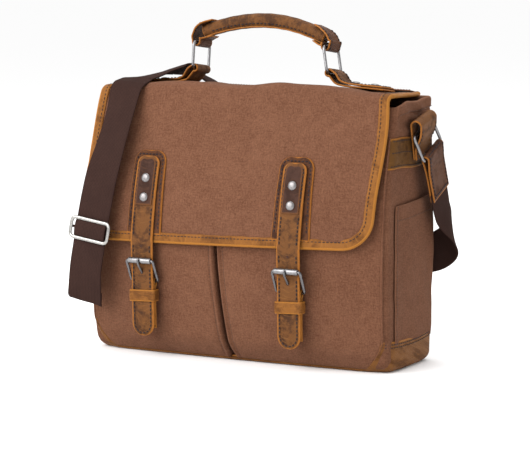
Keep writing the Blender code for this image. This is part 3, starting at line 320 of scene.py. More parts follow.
EDGE_DARK = cut_edge("leather_edge_dark", (0.17, 0.062, 0.016), (0.07, 0.027, 0.012))
WEB = webbing_look("webbing_weave", (0.048, 0.0245, 0.0195), (0.020, 0.0105, 0.009), (0.085, 0.048, 0.040))
GUN = plated("gunmetal", (0.165, 0.16, 0.165), (0.055, 0.054, 0.056), 0.26)
STEEL = plated("roller_steel", (0.25, 0.245, 0.25), (0.12, 0.118, 0.12), 0.30)
NICKEL = plated("bright_nickel", (0.36, 0.35, 0.33), (0.20, 0.193, 0.182), 0.24)
RIVET = plated("rivet_nickel", (0.24, 0.228, 0.228), (0.13, 0.122, 0.124), 0.36)
THREAD = thread("dark_thread", (0.010, 0.0045, 0.009))
THREAD_TAN = thread("tan_thread", (0.115, 0.055, 0.032))
LINING = lining("brushed_lining", (0.042, 0.029, 0.023))

floor_look = Look("pale_floor", 1.0, Specular_IOR_Level=0.0)
floor_look.finish((0.97, 0.97, 0.97))
bm = bmesh.new()
bmesh.ops.create_grid(bm, x_segments=8, y_segments=8, size=60.0)
floor_mesh = bpy.data.meshes.new("floor")
bm.to_mesh(floor_mesh)
bm.free()
floor_mesh.materials.append(floor_look.mat)
floor = bpy.data.objects.new("floor", floor_mesh)
floor.location.z = -0.0004
bpy.context.scene.collection.objects.link(floor)


# ---------------------------------------------------------------- mesh builders
def seat(obj, body, replaces=()):
    """body is a CAD body's name, or (body a, body b, start, end), which leaves the piece unattached with its transform
    baked in.
    """
    if isinstance(body, str):
        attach(obj, body)
    else:
        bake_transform(obj)
    if replaces:
        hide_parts(*replaces)
    return obj


def build(name, verts, faces, uvs, looks, face_look, body, slot=None, replaces=(), edge=None, sharp=60, keep=False):
    """uvs is one list of corner coordinates for each face."""
    mesh = bpy.data.meshes.new(name)
    mesh.from_pydata([tuple(map(float, v)) for v in verts], [], faces)
    layer = mesh.uv_layers.new(name="UVMap")
    seed = (sum(ord(c) * (k + 3) for k, c in enumerate(name)) % 97) * 0.137
    flat = np.array([c for f in uvs for c in f], np.float32).reshape(-1, 2) + np.float32(seed)
    layer.data.foreach_set("uv", flat.ravel())
    if edge is not None:
        attribute = mesh.attributes.new("edge", "FLOAT", "POINT")
        attribute.data.foreach_set("value", np.asarray(edge, np.float32))
    for look in looks:
        mesh.materials.append(look)
    mesh.polygons.foreach_set("material_index", np.asarray(face_look, np.int32))
    if not keep:
        bm = bmesh.new()
        bm.from_mesh(mesh)
        bmesh.ops.recalc_face_normals(bm, faces=bm.faces)
        bm.to_mesh(mesh)
        bm.free()
    mesh.shade_smooth()
    if sharp:
        mesh.set_sharp_from_angle(angle=math.radians(sharp))
    obj = bpy.data.objects.new(name, mesh)
    bpy.context.scene.collection.objects.link(obj)
    seat(obj, body, replaces)
    return obj


def arcs(P, wrap=False):
    """Metric coordinates of a grid of points: U along the columns, V along the rows."""
    Q = np.concatenate([P, P[:, :1]], 1) if wrap else P
    U = np.concatenate([np.zeros((len(Q), 1)), np.cumsum(np.linalg.norm(np.diff(Q, axis=1), axis=2), 1)], 1)
    V = np.concatenate([np.zeros((1, Q.shape[1])), np.cumsum(np.linalg.norm(np.diff(Q, axis=0), axis=2), 0)], 0)
    U = U - U.mean(1)[:, None] if not wrap else U
    return U, V


def normals(P, hint=None, wrap=False):
    if wrap:
        du = np.roll(P, -1, 1) - np.roll(P, 1, 1)
    else:
        du = np.gradient(P, axis=1)
    dv = np.gradient(P, axis=0)
    N = np.cross(du, dv)
    N /= np.maximum(np.linalg.norm(N, axis=2), 1e-12)[..., None]
    if hint is not None and (N * np.asarray(hint)).sum() < 0:
        N = -N
    return N


def slab(name, O, I, looks, body, wrap=False, rim=0.25, reach=0.0035, **kw):
    """Closed sheet between an outer and an inner grid of points; looks are (face, cut edge, inner face)."""
    R, C = O.shape[:2]
    U, V = arcs(O, wrap)
    faces, uvs, look = [], [], []

    def vid(layer, i, j):
        return layer * R * C + i * C + (j % C if wrap else j)

    last = C if wrap else C - 1
    for layer, flip in ((0, False), (1, True)):
        for i in range(R - 1):
            for j in range(last):
                q = ((i, j), (i, j + 1), (i + 1, j + 1), (i + 1, j))
                if flip:
                    q = q[::-1]
                faces.append([vid(layer, a, b) for a, b in q])
                uvs.append([(U[a, b], V[a, b]) for a, b in q])
                look.append(2 if flip and len(looks) > 2 else 0)
    verts = [O.reshape(-1, 3), I.reshape(-1, 3)]
    base = 2 * R * C
    if wrap:
        loops = [[(0, j) for j in range(C)], [(R - 1, j) for j in range(C)]]
        inside = [[(1, j) for j in range(C)], [(R - 2, j) for j in range(C)]]
    else:
        loop = [(0, j) for j in range(C)] + [(i, C - 1) for i in range(1, R)] + \
               [(R - 1, j) for j in range(C - 2, -1, -1)] + [(i, 0) for i in range(R - 2, 0, -1)]
        loops = [loop]
        inside = [[(min(max(i, 1), R - 2), min(max(j, 1), C - 2)) for i, j in loop]]
    for loop, inner in zip(loops, inside):
        a = np.array([O[i, j] for i, j in loop])
        b = np.array([I[i, j] for i, j in loop])
        c = np.array([O[i, j] for i, j in inner])
        away = a - c
        thick = np.linalg.norm(a - b, axis=1)[:, None]
        through_dir = (a - b) / np.maximum(thick, 1e-9)
        away -= (away * through_dir).sum(1)[:, None] * through_dir
        away /= np.maximum(np.linalg.norm(away, axis=1), 1e-9)[:, None]
        mid = (a + b) / 2 + away * thick * rim
        verts.append(mid)
        n = len(loop)
        along = np.concatenate([[0], np.cumsum(np.linalg.norm(np.diff(np.vstack([a, a[:1]]), axis=0), axis=1))])
        for k in range(n):
            m = (k + 1) % n
            for layer in (0, 1):
                pair = (vid(layer, *loop[k]), vid(layer, *loop[m]), base + m, base + k)
                t = thick[k, 0] / 2
                q = [(along[k], 0), (along[k + 1], 0), (along[k + 1], t), (along[k], t)]
                faces.append(list(pair) if layer else list(pair[::-1]))
                uvs.append(q if layer else q[::-1])
                look.append(1 if len(looks) > 1 else 0)
        base += n
    if wrap:
        dist = np.minimum(V[:, :-1] - V[:1, :-1], V[-1:, :-1] - V[:, :-1])
    else:
        dist = np.minimum(np.minimum(U - U[:, :1], U[:, -1:] - U), np.minimum(V - V[:1], V[-1:] - V))
    edge = np.clip(1 - dist / reach, 0, 1).reshape(-1)
    total = sum(len(v) for v in verts)
    edge = np.concatenate([edge, edge, np.ones(total - 2 * R * C)])
    return build(name, np.vstack(verts), faces, uvs, looks, look, body, edge=edge, **kw)


def sheet(name, P, thick, looks, body, hint, wrap=False, soften=0.0, **kw):
    """Closed sheet of one thickness, P being its outer face; soften lets its boundary roll down."""
    N = normals(P, hint, wrap)
    if soften:
        U, V = arcs(P, wrap)
        if wrap:
            d = np.minimum(V[:, :-1] - V[:1, :-1], V[-1:, :-1] - V[:, :-1])
        else:
            d = np.minimum(np.minimum(U - U[:, :1], U[:, -1:] - U), np.minimum(V - V[:1], V[-1:] - V))
        roll = np.clip(1 - d / (thick * 0.6), 0, 1) ** 2
        P2 = P - N * (roll * soften)[..., None]
        return slab(name, P2, P - N * thick + N * (roll * soften)[..., None], looks, body, wrap, **kw)
    return slab(name, P, P - N * thick, looks, body, wrap, **kw)


def frames(path, across):
    path = np.array(path, float)
    across = np.broadcast_to(np.array(across, float), path.shape)
    tangent = np.gradient(path, axis=0)
    tangent /= np.linalg.norm(tangent, axis=1)[:, None]
    wide = across - (across * tangent).sum(1)[:, None] * tangent
    wide /= np.linalg.norm(wide, axis=1)[:, None]
    return path, tangent, wide, np.cross(wide, tangent)


def steps_across(half, n=7):
    """Places across a strap, closer together at its edges."""
    edge = min(0.0005, half * 0.08)
    near = min(0.0016, half * 0.25)
    middle = np.linspace(-half + near, half - near, n)
    return np.concatenate([[-half, -half + edge], middle, [half - edge, half]])


def strap(name, path, across, half, thick, looks, body, crown=0.0, lift=0.0, ease=0.28, n=7, wobble=0.0, **kw):
    """Flat leather or webbing along a path. half may be one number or one for each point."""
    path, tangent, wide, normal = frames(path, across)
    half = np.broadcast_to(np.asarray(half, float), (len(path),))
    O, I = [], []
    for i in range(len(path)):
        s = steps_across(half[i], n)
        end = min(i, len(path) - 1 - i) == 0
        roll = np.zeros(len(s))
        roll[0] = roll[-1] = ease * thick
        roll[1] = roll[-2] = ease * thick * 0.25
        if end:
            roll[:] = np.maximum(roll, ease * thick)
        up = lift + crown * (1 - (s / half[i]) ** 2)
        if wobble:
            up = up + wobble * np.sin(i * 0.37 + s * 190.0) * np.cos(i * 0.11)
        O.append(path[i] + wide[i] * s[:, None] + normal[i] * (thick / 2 + up - roll)[:, None])
        I.append(path[i] + wide[i] * s[:, None] + normal[i] * (-thick / 2 + up + roll)[:, None])
    return slab(name, np.array(O), np.array(I), looks, body, **kw)


def through(points, count):
    """Smooth curve through points, evenly spaced in parameter."""
    pts = np.array(points, float)
    rows = []
    for t in np.linspace(0, len(pts) - 1, count):
        i = min(int(t), len(pts) - 2)
        u = t - i
        p0, p1, p2, p3 = (pts[max(i - 1, 0)], pts[i], pts[i + 1], pts[min(i + 2, len(pts) - 1)])
        rows.append(0.5 * (2 * p1 + (p2 - p0) * u + (2 * p0 - 5 * p1 + 4 * p2 - p3) * u ** 2
                           + (3 * p1 - p0 - 3 * p2 + p3) * u ** 3))
    return np.array(rows)


def even(pts, step=None, count=None):
    """Polyline resampled evenly along its length."""
    pts = np.asarray(pts, float)
    s = np.concatenate([[0], np.cumsum(np.linalg.norm(np.diff(pts, axis=0), axis=1))])
    n = count or max(int(round(s[-1] / step)) + 1, 2)
    t = np.linspace(0, s[-1], n)
    return np.stack([np.interp(t, s, pts[:, k]) for k in range(pts.shape[1])], 1)


def wire(name, pts, radius, look, body, cyclic=False, sides=18, squeeze=1.0, flat_axis=None, round_ends=True, **kw):
    """Round bar along points; squeeze flattens it across flat_axis."""
    pts = np.array([tuple(p) for p in pts], float)
    radius = np.broadcast_to(np.asarray(radius, float), (len(pts),)).copy()
    if not cyclic and round_ends:
        for end, sign in ((0, -1), (-1, 1)):
            d = pts[end] - pts[1 if end == 0 else -2]
            d /= np.linalg.norm(d)
            r = radius[end]
            extra = [(pts[end] + d * r * math.sin(a), r * max(math.cos(a), 0.02)) for a in np.radians((35, 62, 82, 90))]
            if end == 0:
                pts = np.vstack([[e[0] for e in extra[::-1]], pts])
                radius = np.concatenate([[e[1] for e in extra[::-1]], radius])
            else:
                pts = np.vstack([pts, [e[0] for e in extra]])
                radius = np.concatenate([radius, [e[1] for e in extra]])
    n = len(pts)
    if cyclic:
        tangent = np.roll(pts, -1, 0) - np.roll(pts, 1, 0)
    else:
        tangent = np.gradient(pts, axis=0)
    tangent /= np.linalg.norm(tangent, axis=1)[:, None]
    if flat_axis is not None:
        ref = np.broadcast_to(np.array(flat_axis, float), pts.shape)
        a = ref - (ref * tangent).sum(1)[:, None] * tangent
        a /= np.linalg.norm(a, axis=1)[:, None]
    else:
        a = np.zeros_like(pts)
        start = np.cross(tangent[0], (0, 0, 1)) if abs(tangent[0][2]) < 0.9 else np.cross(tangent[0], (1, 0, 0))
        a[0] = start / np.linalg.norm(start)
        for i in range(1, n):
            v = a[i - 1] - (a[i - 1] @ tangent[i]) * tangent[i]
            a[i] = v / np.linalg.norm(v)
    b = np.cross(tangent, a)
    ang = np.linspace(0, 2 * math.pi, sides, endpoint=False)
    P = pts[:, None] + radius[:, None, None] * (a[:, None] * (squeeze * np.cos(ang))[None, :, None]
                                                + b[:, None] * np.sin(ang)[None, :, None])
    faces, uvs = [], []
    s = np.concatenate([[0], np.cumsum(np.linalg.norm(np.diff(np.vstack([pts, pts[:1]]), axis=0), axis=1))])
    around = np.linspace(0, 2 * math.pi * radius.max(), sides + 1)
    for i in range(n if cyclic else n - 1):
        k = (i + 1) % n
        for j in range(sides):
            m = (j + 1) % sides
            faces.append([i * sides + j, i * sides + m, k * sides + m, k * sides + j])
            uvs.append([(around[j], s[i]), (around[j + 1], s[i]), (around[j + 1], s[i + 1]), (around[j], s[i + 1])])
    if not cyclic:
        for i, order in ((0, -1), (n - 1, 1)):
            ring = [i * sides + j for j in range(sides)][::order]
            faces.append(ring)
            uvs.append([(0.0, 0.0)] * sides)
    return build(name, P.reshape(-1, 3), faces, uvs, [look], [0] * len(faces), body, edge=np.zeros(n * sides), **kw)


def turned_piece(name, place, axis, profile, look, body, sides=40, **kw):
    """Turned solid: profile is (radius, height) from the underside's centre to the top's centre."""
    turn = Vector((0, 0, 1)).rotation_difference(Vector(axis).normalized())
    place = Vector(place)
    verts, rings = [], []
    for radius, height in profile:
        if radius == 0:
            rings.append([len(verts)])
            verts.append(place + turn @ Vector((0, 0, height)))
        else:
            rings.append(list(range(len(verts), len(verts) + sides)))
            verts += [place + turn @ Vector((radius * math.cos(2 * math.pi * k / sides),
                                             radius * math.sin(2 * math.pi * k / sides), height)) for k in range(sides)]
    faces = []
    for low, high in zip(rings, rings[1:]):
        for k in range(sides):
            m = (k + 1) % sides
            if len(low) == 1:
                faces.append([low[0], high[m], high[k]])
            elif len(high) == 1:
                faces.append([low[k], low[m], high[0]])
            else:
                faces.append([low[k], low[m], high[m], high[k]])
    local = [turn.inverted() @ (Vector(v) - place) for v in verts]
    uvs = [[(local[i].x, local[i].y + local[i].z) for i in f] for f in faces]
    return build(name, verts, faces, uvs, [look], [0] * len(faces), body, edge=np.zeros(len(verts)), sharp=40, **kw)


# stitches: each is a small raised capsule; they are gathered into one piece for each body
sewn = {}


def stitch(key, body, pts, nrm, pitch=0.0046, length=0.0034, radius=0.00046, look=None, start=0.5):
    pts = np.asarray(pts, float)
    nrm = np.broadcast_to(np.asarray(nrm, float), pts.shape)
    s = np.concatenate([[0], np.cumsum(np.linalg.norm(np.diff(pts, axis=0), axis=1))])
    bag = sewn.setdefault(key, {"body": body, "v": [], "f": [], "uv": [], "look": look or THREAD})
    at = pitch * start
    while at + length < s[-1]:
        ts = at + length * np.array([0.0, 0.10, 0.35, 0.65, 0.90, 1.0])
        c = np.stack([np.interp(ts, s, pts[:, k]) for k in range(3)], 1)
        n = np.stack([np.interp(ts, s, nrm[:, k]) for k in range(3)], 1)
        n /= np.linalg.norm(n, axis=1)[:, None]
        d = c[-1] - c[0]
        if np.linalg.norm(d) > 1e-6:
            d /= np.linalg.norm(d)
            side = np.cross(n, d)
            rise = np.array([-0.9, -0.15, 0.45, 0.45, -0.15, -0.9]) * radius
            size = np.array([0.45, 0.9, 1.0, 1.0, 0.9, 0.45]) * radius
            base = len(bag["v"])
            for i in range(6):
                for k in range(6):
                    a = math.pi * k / 3
                    bag["v"].append(c[i] + n[i] * (rise[i] + size[i] * math.sin(a)) + side[i] * size[i] * math.cos(a))
            for i in range(5):
                for k in range(6):
                    m = (k + 1) % 6
                    bag["f"].append([base + i * 6 + k, base + i * 6 + m, base + i * 6 + 6 + m, base + i * 6 + 6 + k])
                    bag["uv"].append([(k * radius, ts[i]), ((k + 1) * radius, ts[i]),
                                      ((k + 1) * radius, ts[i + 1]), (k * radius, ts[i + 1])])
            for i, order in ((0, -1), (5, 1)):
                bag["f"].append([base + i * 6 + k for k in range(6)][::order])
                bag["uv"].append([(0.0, 0.0)] * 6)
        at += pitch


def sew_all():
    for key, bag in sewn.items():
        build("stitches_" + key, bag["v"], bag["f"], bag["uv"], [bag["look"]], [0] * len(bag["f"]), bag["body"],
              edge=np.zeros(len(bag["v"])), sharp=0, keep=False)


def stitch_strap(key, body, path, across, offsets, lift, **kw):
    path, tangent, wide, normal = frames(path, across)
    for off in offsets:
        off = np.broadcast_to(np.asarray(off, float), (len(path),))
        stitch(key, body, path + wide * off[:, None] + normal * lift, normal * (1 if lift > 0 else -1), **kw)


def swell(a, b, seed, long=0.14, short=0.035, n=9):
    """Smooth random waves, about -1 to 1."""
    rng = np.random.RandomState(seed)
    out = np.zeros(np.broadcast(a, b).shape)
    for _ in range(n):
        wave = math.exp(rng.uniform(math.log(short), math.log(long)))
        turn = rng.uniform(0, math.pi)
        out = out + np.sin(2 * math.pi * (a * math.cos(turn) + b * math.sin(turn)) / wave + rng.uniform(0, 6.28)) * (wave / long) ** 0.7
    return out / (n ** 0.5)


def ridge(a, b, a0, b0, a1, b1, width):
    """1 along a line from (a0, b0) to (a1, b1), falling off over width."""
    d = np.array([a1 - a0, b1 - b0])
    length = np.linalg.norm(d)
    d /= length
    along = (a - a0) * d[0] + (b - b0) * d[1]
    off = -(a - a0) * d[1] + (b - b0) * d[0]
    beyond = np.maximum(np.maximum(-along, along - length), 0)
    return np.exp(-(off ** 2 + beyond ** 2 * 0.6) / width ** 2)


# ---------------------------------------------------------------- shapes of the bag (as the frame has them)
def smooth(table, t):
    xs = np.array([p for p, _ in table], float)
    ys = np.array([v for _, v in table], float)
    n = len(xs)
    t = np.clip(np.asarray(t, float), xs[0], xs[-1])
    i = np.clip(np.searchsorted(xs, t, side="right") - 1, 0, n - 2)
    slope = np.array([(ys[min(k + 1, n - 1)] - ys[max(k - 1, 0)]) / (xs[min(k + 1, n - 1)] - xs[max(k - 1, 0)])
                      for k in range(n)])
    h = xs[i + 1] - xs[i]
    u = (t - xs[i]) / h
    m0, m1 = slope[i] * h, slope[i + 1] * h
    return ((2 * u ** 3 - 3 * u ** 2 + 1) * ys[i] + (u ** 3 - 2 * u ** 2 + u) * m0
            + (-2 * u ** 3 + 3 * u ** 2) * ys[i + 1] + (u ** 3 - u ** 2) * m1)


def ease01(x):
    x = np.clip(x, 0, 1)
    return x * x * (3 - 2 * x)


HALF_W, RIM_Z, FRONT_TOP_Z = 0.193, 0.303, 0.292
SEAM_FRONT = ((0.0, -0.0500), (0.10, -0.0560), (0.20, -0.0520), (0.30, -0.0400))
SEAM_BACK = ((0.0, 0.0530), (0.10, 0.0580), (0.20, 0.0570), (0.30, 0.0510))
POCKET_TOP, POCKET_X1 = 0.196, 0.182
POCKET_MID = ((0.0, -0.0640), (0.03, -0.0770), (0.10, -0.0850), (0.16, -0.0820), (0.21, -0.0740))
POCKET_SIDE = ((0.0, -0.0600), (0.03, -0.0660), (0.10, -0.0710), (0.16, -0.0690), (0.21, -0.0640))
CORNER_LINE = ((0.0, -0.0570), (0.03, -0.0640), (0.10, -0.0690), (0.16, -0.0670), (0.21, -0.0620), (0.25, -0.0530), (0.303, -0.0430))
FLAP_EDGE_Z, FLAP_RISE, FLAP_W, FLAP_R, FLAP_T = 0.1375, 0.021, 0.1950, 0.0350, 0.0024
FLAP_LEFT = ((0.13, -0.1950), (0.20, -0.1945), (0.26, -0.1915), (0.30, -0.1865), (0.32, -0.1840))
FLAP_RIGHT = ((0.13, 0.1810), (0.18, 0.1815), (0.27, 0.1880), (0.32, 0.1870))
SEAM_ENDS = (-0.1840, 0.1750)
FLAP_MID = ((0.13, -0.0935), (0.16, -0.0890), (0.20, -0.0810), (0.26, -0.0640), (0.302, -0.0545))
FLAP_SIDE = ((0.13, -0.0800), (0.16, -0.0770), (0.20, -0.0720), (0.26, -0.0590), (0.302, -0.0530))
BEND_Y, BEND_Z, BEND_R = -0.0420, 0.3060, 0.0120
TOP_HUMP, TOP_DROOP, TOP_SLOPE = 0.0015, 0.0085, math.radians(6.5)
SEAM_HINGE = (0.0575, 0.3040)


def front_y(x, z):
    u = np.minimum(np.abs(x) / HALF_W, 1.0)
    v = np.clip(z / 0.30, 0.0, 1.0)
    return smooth(SEAM_FRONT, z) - 0.008 * (1 - u ** 2) * np.sin(math.pi * (0.08 + 0.84 * v))


def back_y(x, z):
    u = np.minimum(np.abs(x) / HALF_W, 1.0)
    return smooth(SEAM_BACK, z) + 0.0035 * (1 - u ** 2) * np.sin(math.pi * np.clip(z / 0.31, 0, 1))


def pocket_y(x, z):
    u = np.minimum(np.abs(x) / POCKET_X1, 1.0)
    return smooth(POCKET_SIDE, z) + (smooth(POCKET_MID, z) - smooth(POCKET_SIDE, z)) * (1 - u ** 2.4)


def flap_y(x, z):
    u = np.minimum(np.abs(x) / FLAP_W, 1.0)
    return smooth(FLAP_SIDE, z) + (smooth(FLAP_MID, z) - smooth(FLAP_SIDE, z)) * (1 - u ** 2.4)


def pocket_middle(z):
    return -0.0030 - 0.0125 * z / 0.137


CORNER = 0.009


def shell(c, z, out=0.0, ripple=1.0):
    """Point on the bag's wall: c runs 0-1 along the front, 1-2 right end, 2-3 back, 3-4 left end."""
    c, z = np.broadcast_arrays(np.asarray(c, float), np.asarray(z, float))
    low = np.clip(z, 0.0, 0.016)
    hx = HALF_W - (0.016 - np.sqrt(np.maximum(0.016 ** 2 - (0.016 - low) ** 2, 0)))
    under = 0.008 * (1 - np.sqrt(np.maximum(1 - (1 - np.clip(z / 0.012, 0, 1)) ** 2, 0)))
    sf = smooth(CORNER_LINE, z) + under
    sb = smooth(SEAM_BACK, z) - under
    k = np.floor(c).astype(int) % 4
    t = c - np.floor(c)
    x, y = np.zeros_like(t), np.zeros_like(t)
    nx, ny = np.zeros_like(t), np.zeros_like(t)
    f = 2 * t - 1
    m = k == 0
    forward = ease01((np.abs(f) * HALF_W - 0.170) / 0.018)
    yf = front_y(f * HALF_W, z) + under + (smooth(CORNER_LINE, z) - smooth(SEAM_FRONT, z)) * forward
    x = np.where(m, f * (hx - CORNER), x)
    y = np.where(m, yf, y)
    ny = np.where(m, -1.0, ny)
    m = k == 2
    x = np.where(m, -f * (hx - CORNER), x)
    y = np.where(m, back_y(f * HALF_W, z) - under, y)
    ny = np.where(m, 1.0, ny)
    for which, sign in ((1, 1), (3, -1)):
        m = k == which
        tt = t if sign > 0 else 1 - t
        e = 0.075
        a1 = np.radians(-90 + 90 * np.clip(tt / e, 0, 1))
        a2 = np.radians(90 * np.clip((tt - 1 + e) / e, 0, 1))
        mid = np.clip((tt - e) / (1 - 2 * e), 0, 1)
        xs = np.where(tt < e, hx - CORNER + CORNER * np.cos(a1), np.where(tt > 1 - e, hx - CORNER + CORNER * np.cos(a2), hx))
        ys = np.where(tt < e, sf + CORNER + CORNER * np.sin(a1),
                      np.where(tt > 1 - e, sb - CORNER + CORNER * np.sin(a2), sf + CORNER + (sb - sf - 2 * CORNER) * mid))
        ex = np.where(tt < e, np.cos(a1), np.where(tt > 1 - e, np.cos(a2), 1.0))
        ey = np.where(tt < e, np.sin(a1), np.where(tt > 1 - e, np.sin(a2), 0.0))
        x, y = np.where(m, sign * xs, x), np.where(m, ys, y)
        nx, ny = np.where(m, sign * ex, nx), np.where(m, ey, ny)
    # soft dents, and folds under the rim at both ends
    side = ((k == 1) | (k == 3))
    fade = ease01(z / 0.05)
    dent = 0.0011 * swell(x, z, 5) * fade
    dent = np.where(side, 0.0010 * swell(y, z, 11, 0.09, 0.03) * fade, dent)
    bow = np.where(side, 0.0016 * np.sin(math.pi * np.clip(np.where(k == 1, t, 1 - t), 0, 1)) * np.sin(math.pi * np.clip(z / 0.22, 0, 1)), 0.0)
    mirror = np.where(k == 3, 0.004, 0.0)
    folds = (0.0032 * ridge(y, z, -0.022, 0.292 - 0.004, 0.016, 0.277, 0.0060)
             - 0.0026 * ridge(y, z, -0.030, 0.280, 0.006, 0.270, 0.0050)
             + 0.0026 * ridge(y + mirror, z, 0.018, 0.292, 0.047, 0.281, 0.0055)
             + 0.0018 * ridge(y, z, -0.012, 0.270, 0.022, 0.265, 0.0045)
             - 0.0018 * ridge(y + mirror, z, 0.022, 0.284, 0.046, 0.272, 0.0050))
    add = (dent + bow + np.where(side, folds, 0.0)) * ripple + out
    return np.stack([x + nx * add, y + ny * add, z], -1)


def outward(P):
    return P * np.array([1.0, 1.0, 0.0])


# canvas walls: front, both ends and back in one sewn tube
cols = np.concatenate([np.linspace(0, 1, 91)[:-1], 1 + np.linspace(0, 1, 61)[:-1], 2 + np.linspace(0, 1, 81)[:-1],
                       3 + np.linspace(0, 1, 61)[:-1]])


def rim_height(c):
    k = np.mod(c, 4)
    up = np.where(k < 1, FRONT_TOP_Z, RIM_Z)
    side = ((k >= 1) & (k < 2)) | (k >= 3)
    t = np.where(k < 2, k - 1, 4 - k)
    up = np.where(side, FRONT_TOP_Z + 0.004 + (RIM_Z - FRONT_TOP_Z - 0.004) * ease01(t / 0.35) - 0.0035 * np.sin(math.pi * np.clip(t, 0, 1)) ** 2, up)
    return up


v = np.concatenate([[0.0], np.linspace(0.012, 0.985, 84), [0.993, 1.0]])
Z = 0.004 + (rim_height(cols)[None, :] - 0.004) * v[:, None]
P = shell(np.broadcast_to(cols, Z.shape), Z)
sheet("bag_walls", P, 0.0022, (CANVAS, CANVAS, CANVAS_IN), "bag", outward(P), wrap=True, soften=0.0006, slot="canvas",
      replaces=("front_panel", "back_panel", "left_gusset", "right_gusset"))

# turned hem round both ends and the back
hem_c = np.concatenate([1.06 + np.linspace(0, 0.94, 60)[:-1], 2 + np.linspace(0, 1, 80)[:-1], 3 + np.linspace(0, 0.94, 60)])
w = np.linspace(0, 1, 12)
top = rim_height(hem_c)
Z = top[None, :] + 0.0008 - 0.0125 * (1 - w[:, None])
P = shell(np.broadcast_to(hem_c, Z.shape), Z, 0.0018 - 0.0008 * (1 - w[:, None]) ** 6)
sheet("rim_hem", P, 0.0052, (CANVAS, CANVAS, CANVAS_IN), "bag", outward(P), soften=0.0012, slot="canvas")
row = shell(hem_c, top - 0.0095, 0.0019)
stitch("canvas_bag", "bag", row, outward(row), pitch=0.0036, length=0.0027, radius=0.00032, look=THREAD_TAN)

# front pockets
for side, sign in (("left", -1), ("right", 1)):
    zs = np.concatenate([[0.0030, 0.0036], np.linspace(0.0055, 0.020, 10), np.linspace(0.024, POCKET_TOP - 0.0012, 70), [POCKET_TOP]])
    grid = []
    for z in zs:
        depth = 1 - 0.52 * max(0.0, 1 - z / 0.028) ** 2.2
        xs = 0.1885 - 0.0250 * max(0.0, 1 - z / 0.040) ** 1.6
        x0 = sign * pocket_middle(z) + 0.0021 + 0.0030 * max(0.0, 1 - z / 0.02) ** 2
        yc = smooth(CORNER_LINE, z) - 0.0014 + 0.006 * max(0.0, 1 - z / 0.012) ** 2
        wall = front_y(sign * x0, z) - 0.0012
        u = np.concatenate([np.linspace(0, 0.050, 15)[:-1], np.linspace(0.050, 1, 76)])
        x = x0 + (xs - x0) * u
        full = pocket_y(sign * np.minimum(x, POCKET_X1), z) - front_y(sign * x, z)
        y = front_y(sign * x, z) + full * depth
        dent = 0.0013 * swell(sign * x, np.full_like(x, z), 21, 0.12, 0.04) * min(1, z / 0.04)
        dent += 0.0012 * ridge(sign * x, np.full_like(x, z), 0.150, 0.030, 0.120, 0.075, 0.012) - 0.0010 * ridge(
            sign * x, np.full_like(x, z), 0.168, 0.050, 0.160, 0.120, 0.009)
        y = y - dent * np.clip(np.minimum(u, 1 - u) / 0.08, 0, 1)
        near_slit = np.clip((x - x0) / 0.0030, 0, 1)
        y = y + 0.0034 * (1 - np.sqrt(1 - (1 - near_slit) ** 2)) - 0.0013 * np.exp(-((x - x0 - 0.0028) / 0.0017) ** 2)
        y = y + 0.0011 * np.exp(-((x - x0 - 0.0068) / 0.0019) ** 2)
        reach = np.clip((xs - x) / 0.0100, 0, 1)
        blend = 1 - np.sqrt(np.maximum(1 - (1 - reach) ** 2, 0))
        y = y + (yc - y) * blend
        inner_wall = [(sign * x0, wall + (y[0] - wall) * q) for q in (0.0, 0.25, 0.5, 0.75, 0.93)]
        grid.append([(a, b, z) for a, b in inner_wall] + [(sign * a, b, z) for a, b in zip(x, y)])
    P = np.array(grid)
    hint = np.zeros_like(P)
    hint[..., 1] = -1
    sheet(side + "_pocket_front", P, 0.0019, (CANVAS, CANVAS, CANVAS_IN), "bag", hint, soften=0.0005, slot="canvas",
          replaces=(side + "_front_pocket",))
    # edge stitching beside the slit, and along the pocket's hem
    line = P[2:, 5 + 11] + np.array([0, -0.0002, 0])
    stitch("canvas_bag", "bag", line, (0, -1, 0), pitch=0.0034, length=0.0025, radius=0.00030)
    row = P[-8, 6:-4] + np.array([0, -0.0002, 0])
    stitch("canvas_bag", "bag", row, (0, -1, 0), pitch=0.0034, length=0.0025, radius=0.00030)
    # welt of the corner seam
    zz = np.linspace(0.016, 0.262, 70)
    xs = 0.1885 - 0.0250 * np.maximum(0.0, 1 - zz / 0.040) ** 1.6
    yc = smooth(CORNER_LINE, zz) - 0.0006 + 0.006 * np.maximum(0.0, 1 - zz / 0.012) ** 2
    wire(side + "_corner_welt", np.stack([sign * (xs + 0.0002), yc, zz], 1), 0.0014, CANVAS, "bag", sides=10, slot="canvas")

# leather boot: underside, both ends and the back's foot
boot_c = np.concatenate([np.linspace(0, 1, 81)[:-1], 1 + np.linspace(0, 1, 56)[:-1], 2 + np.linspace(0, 1, 71)[:-1],
                         3 + np.linspace(0, 1, 56)[:-1]])


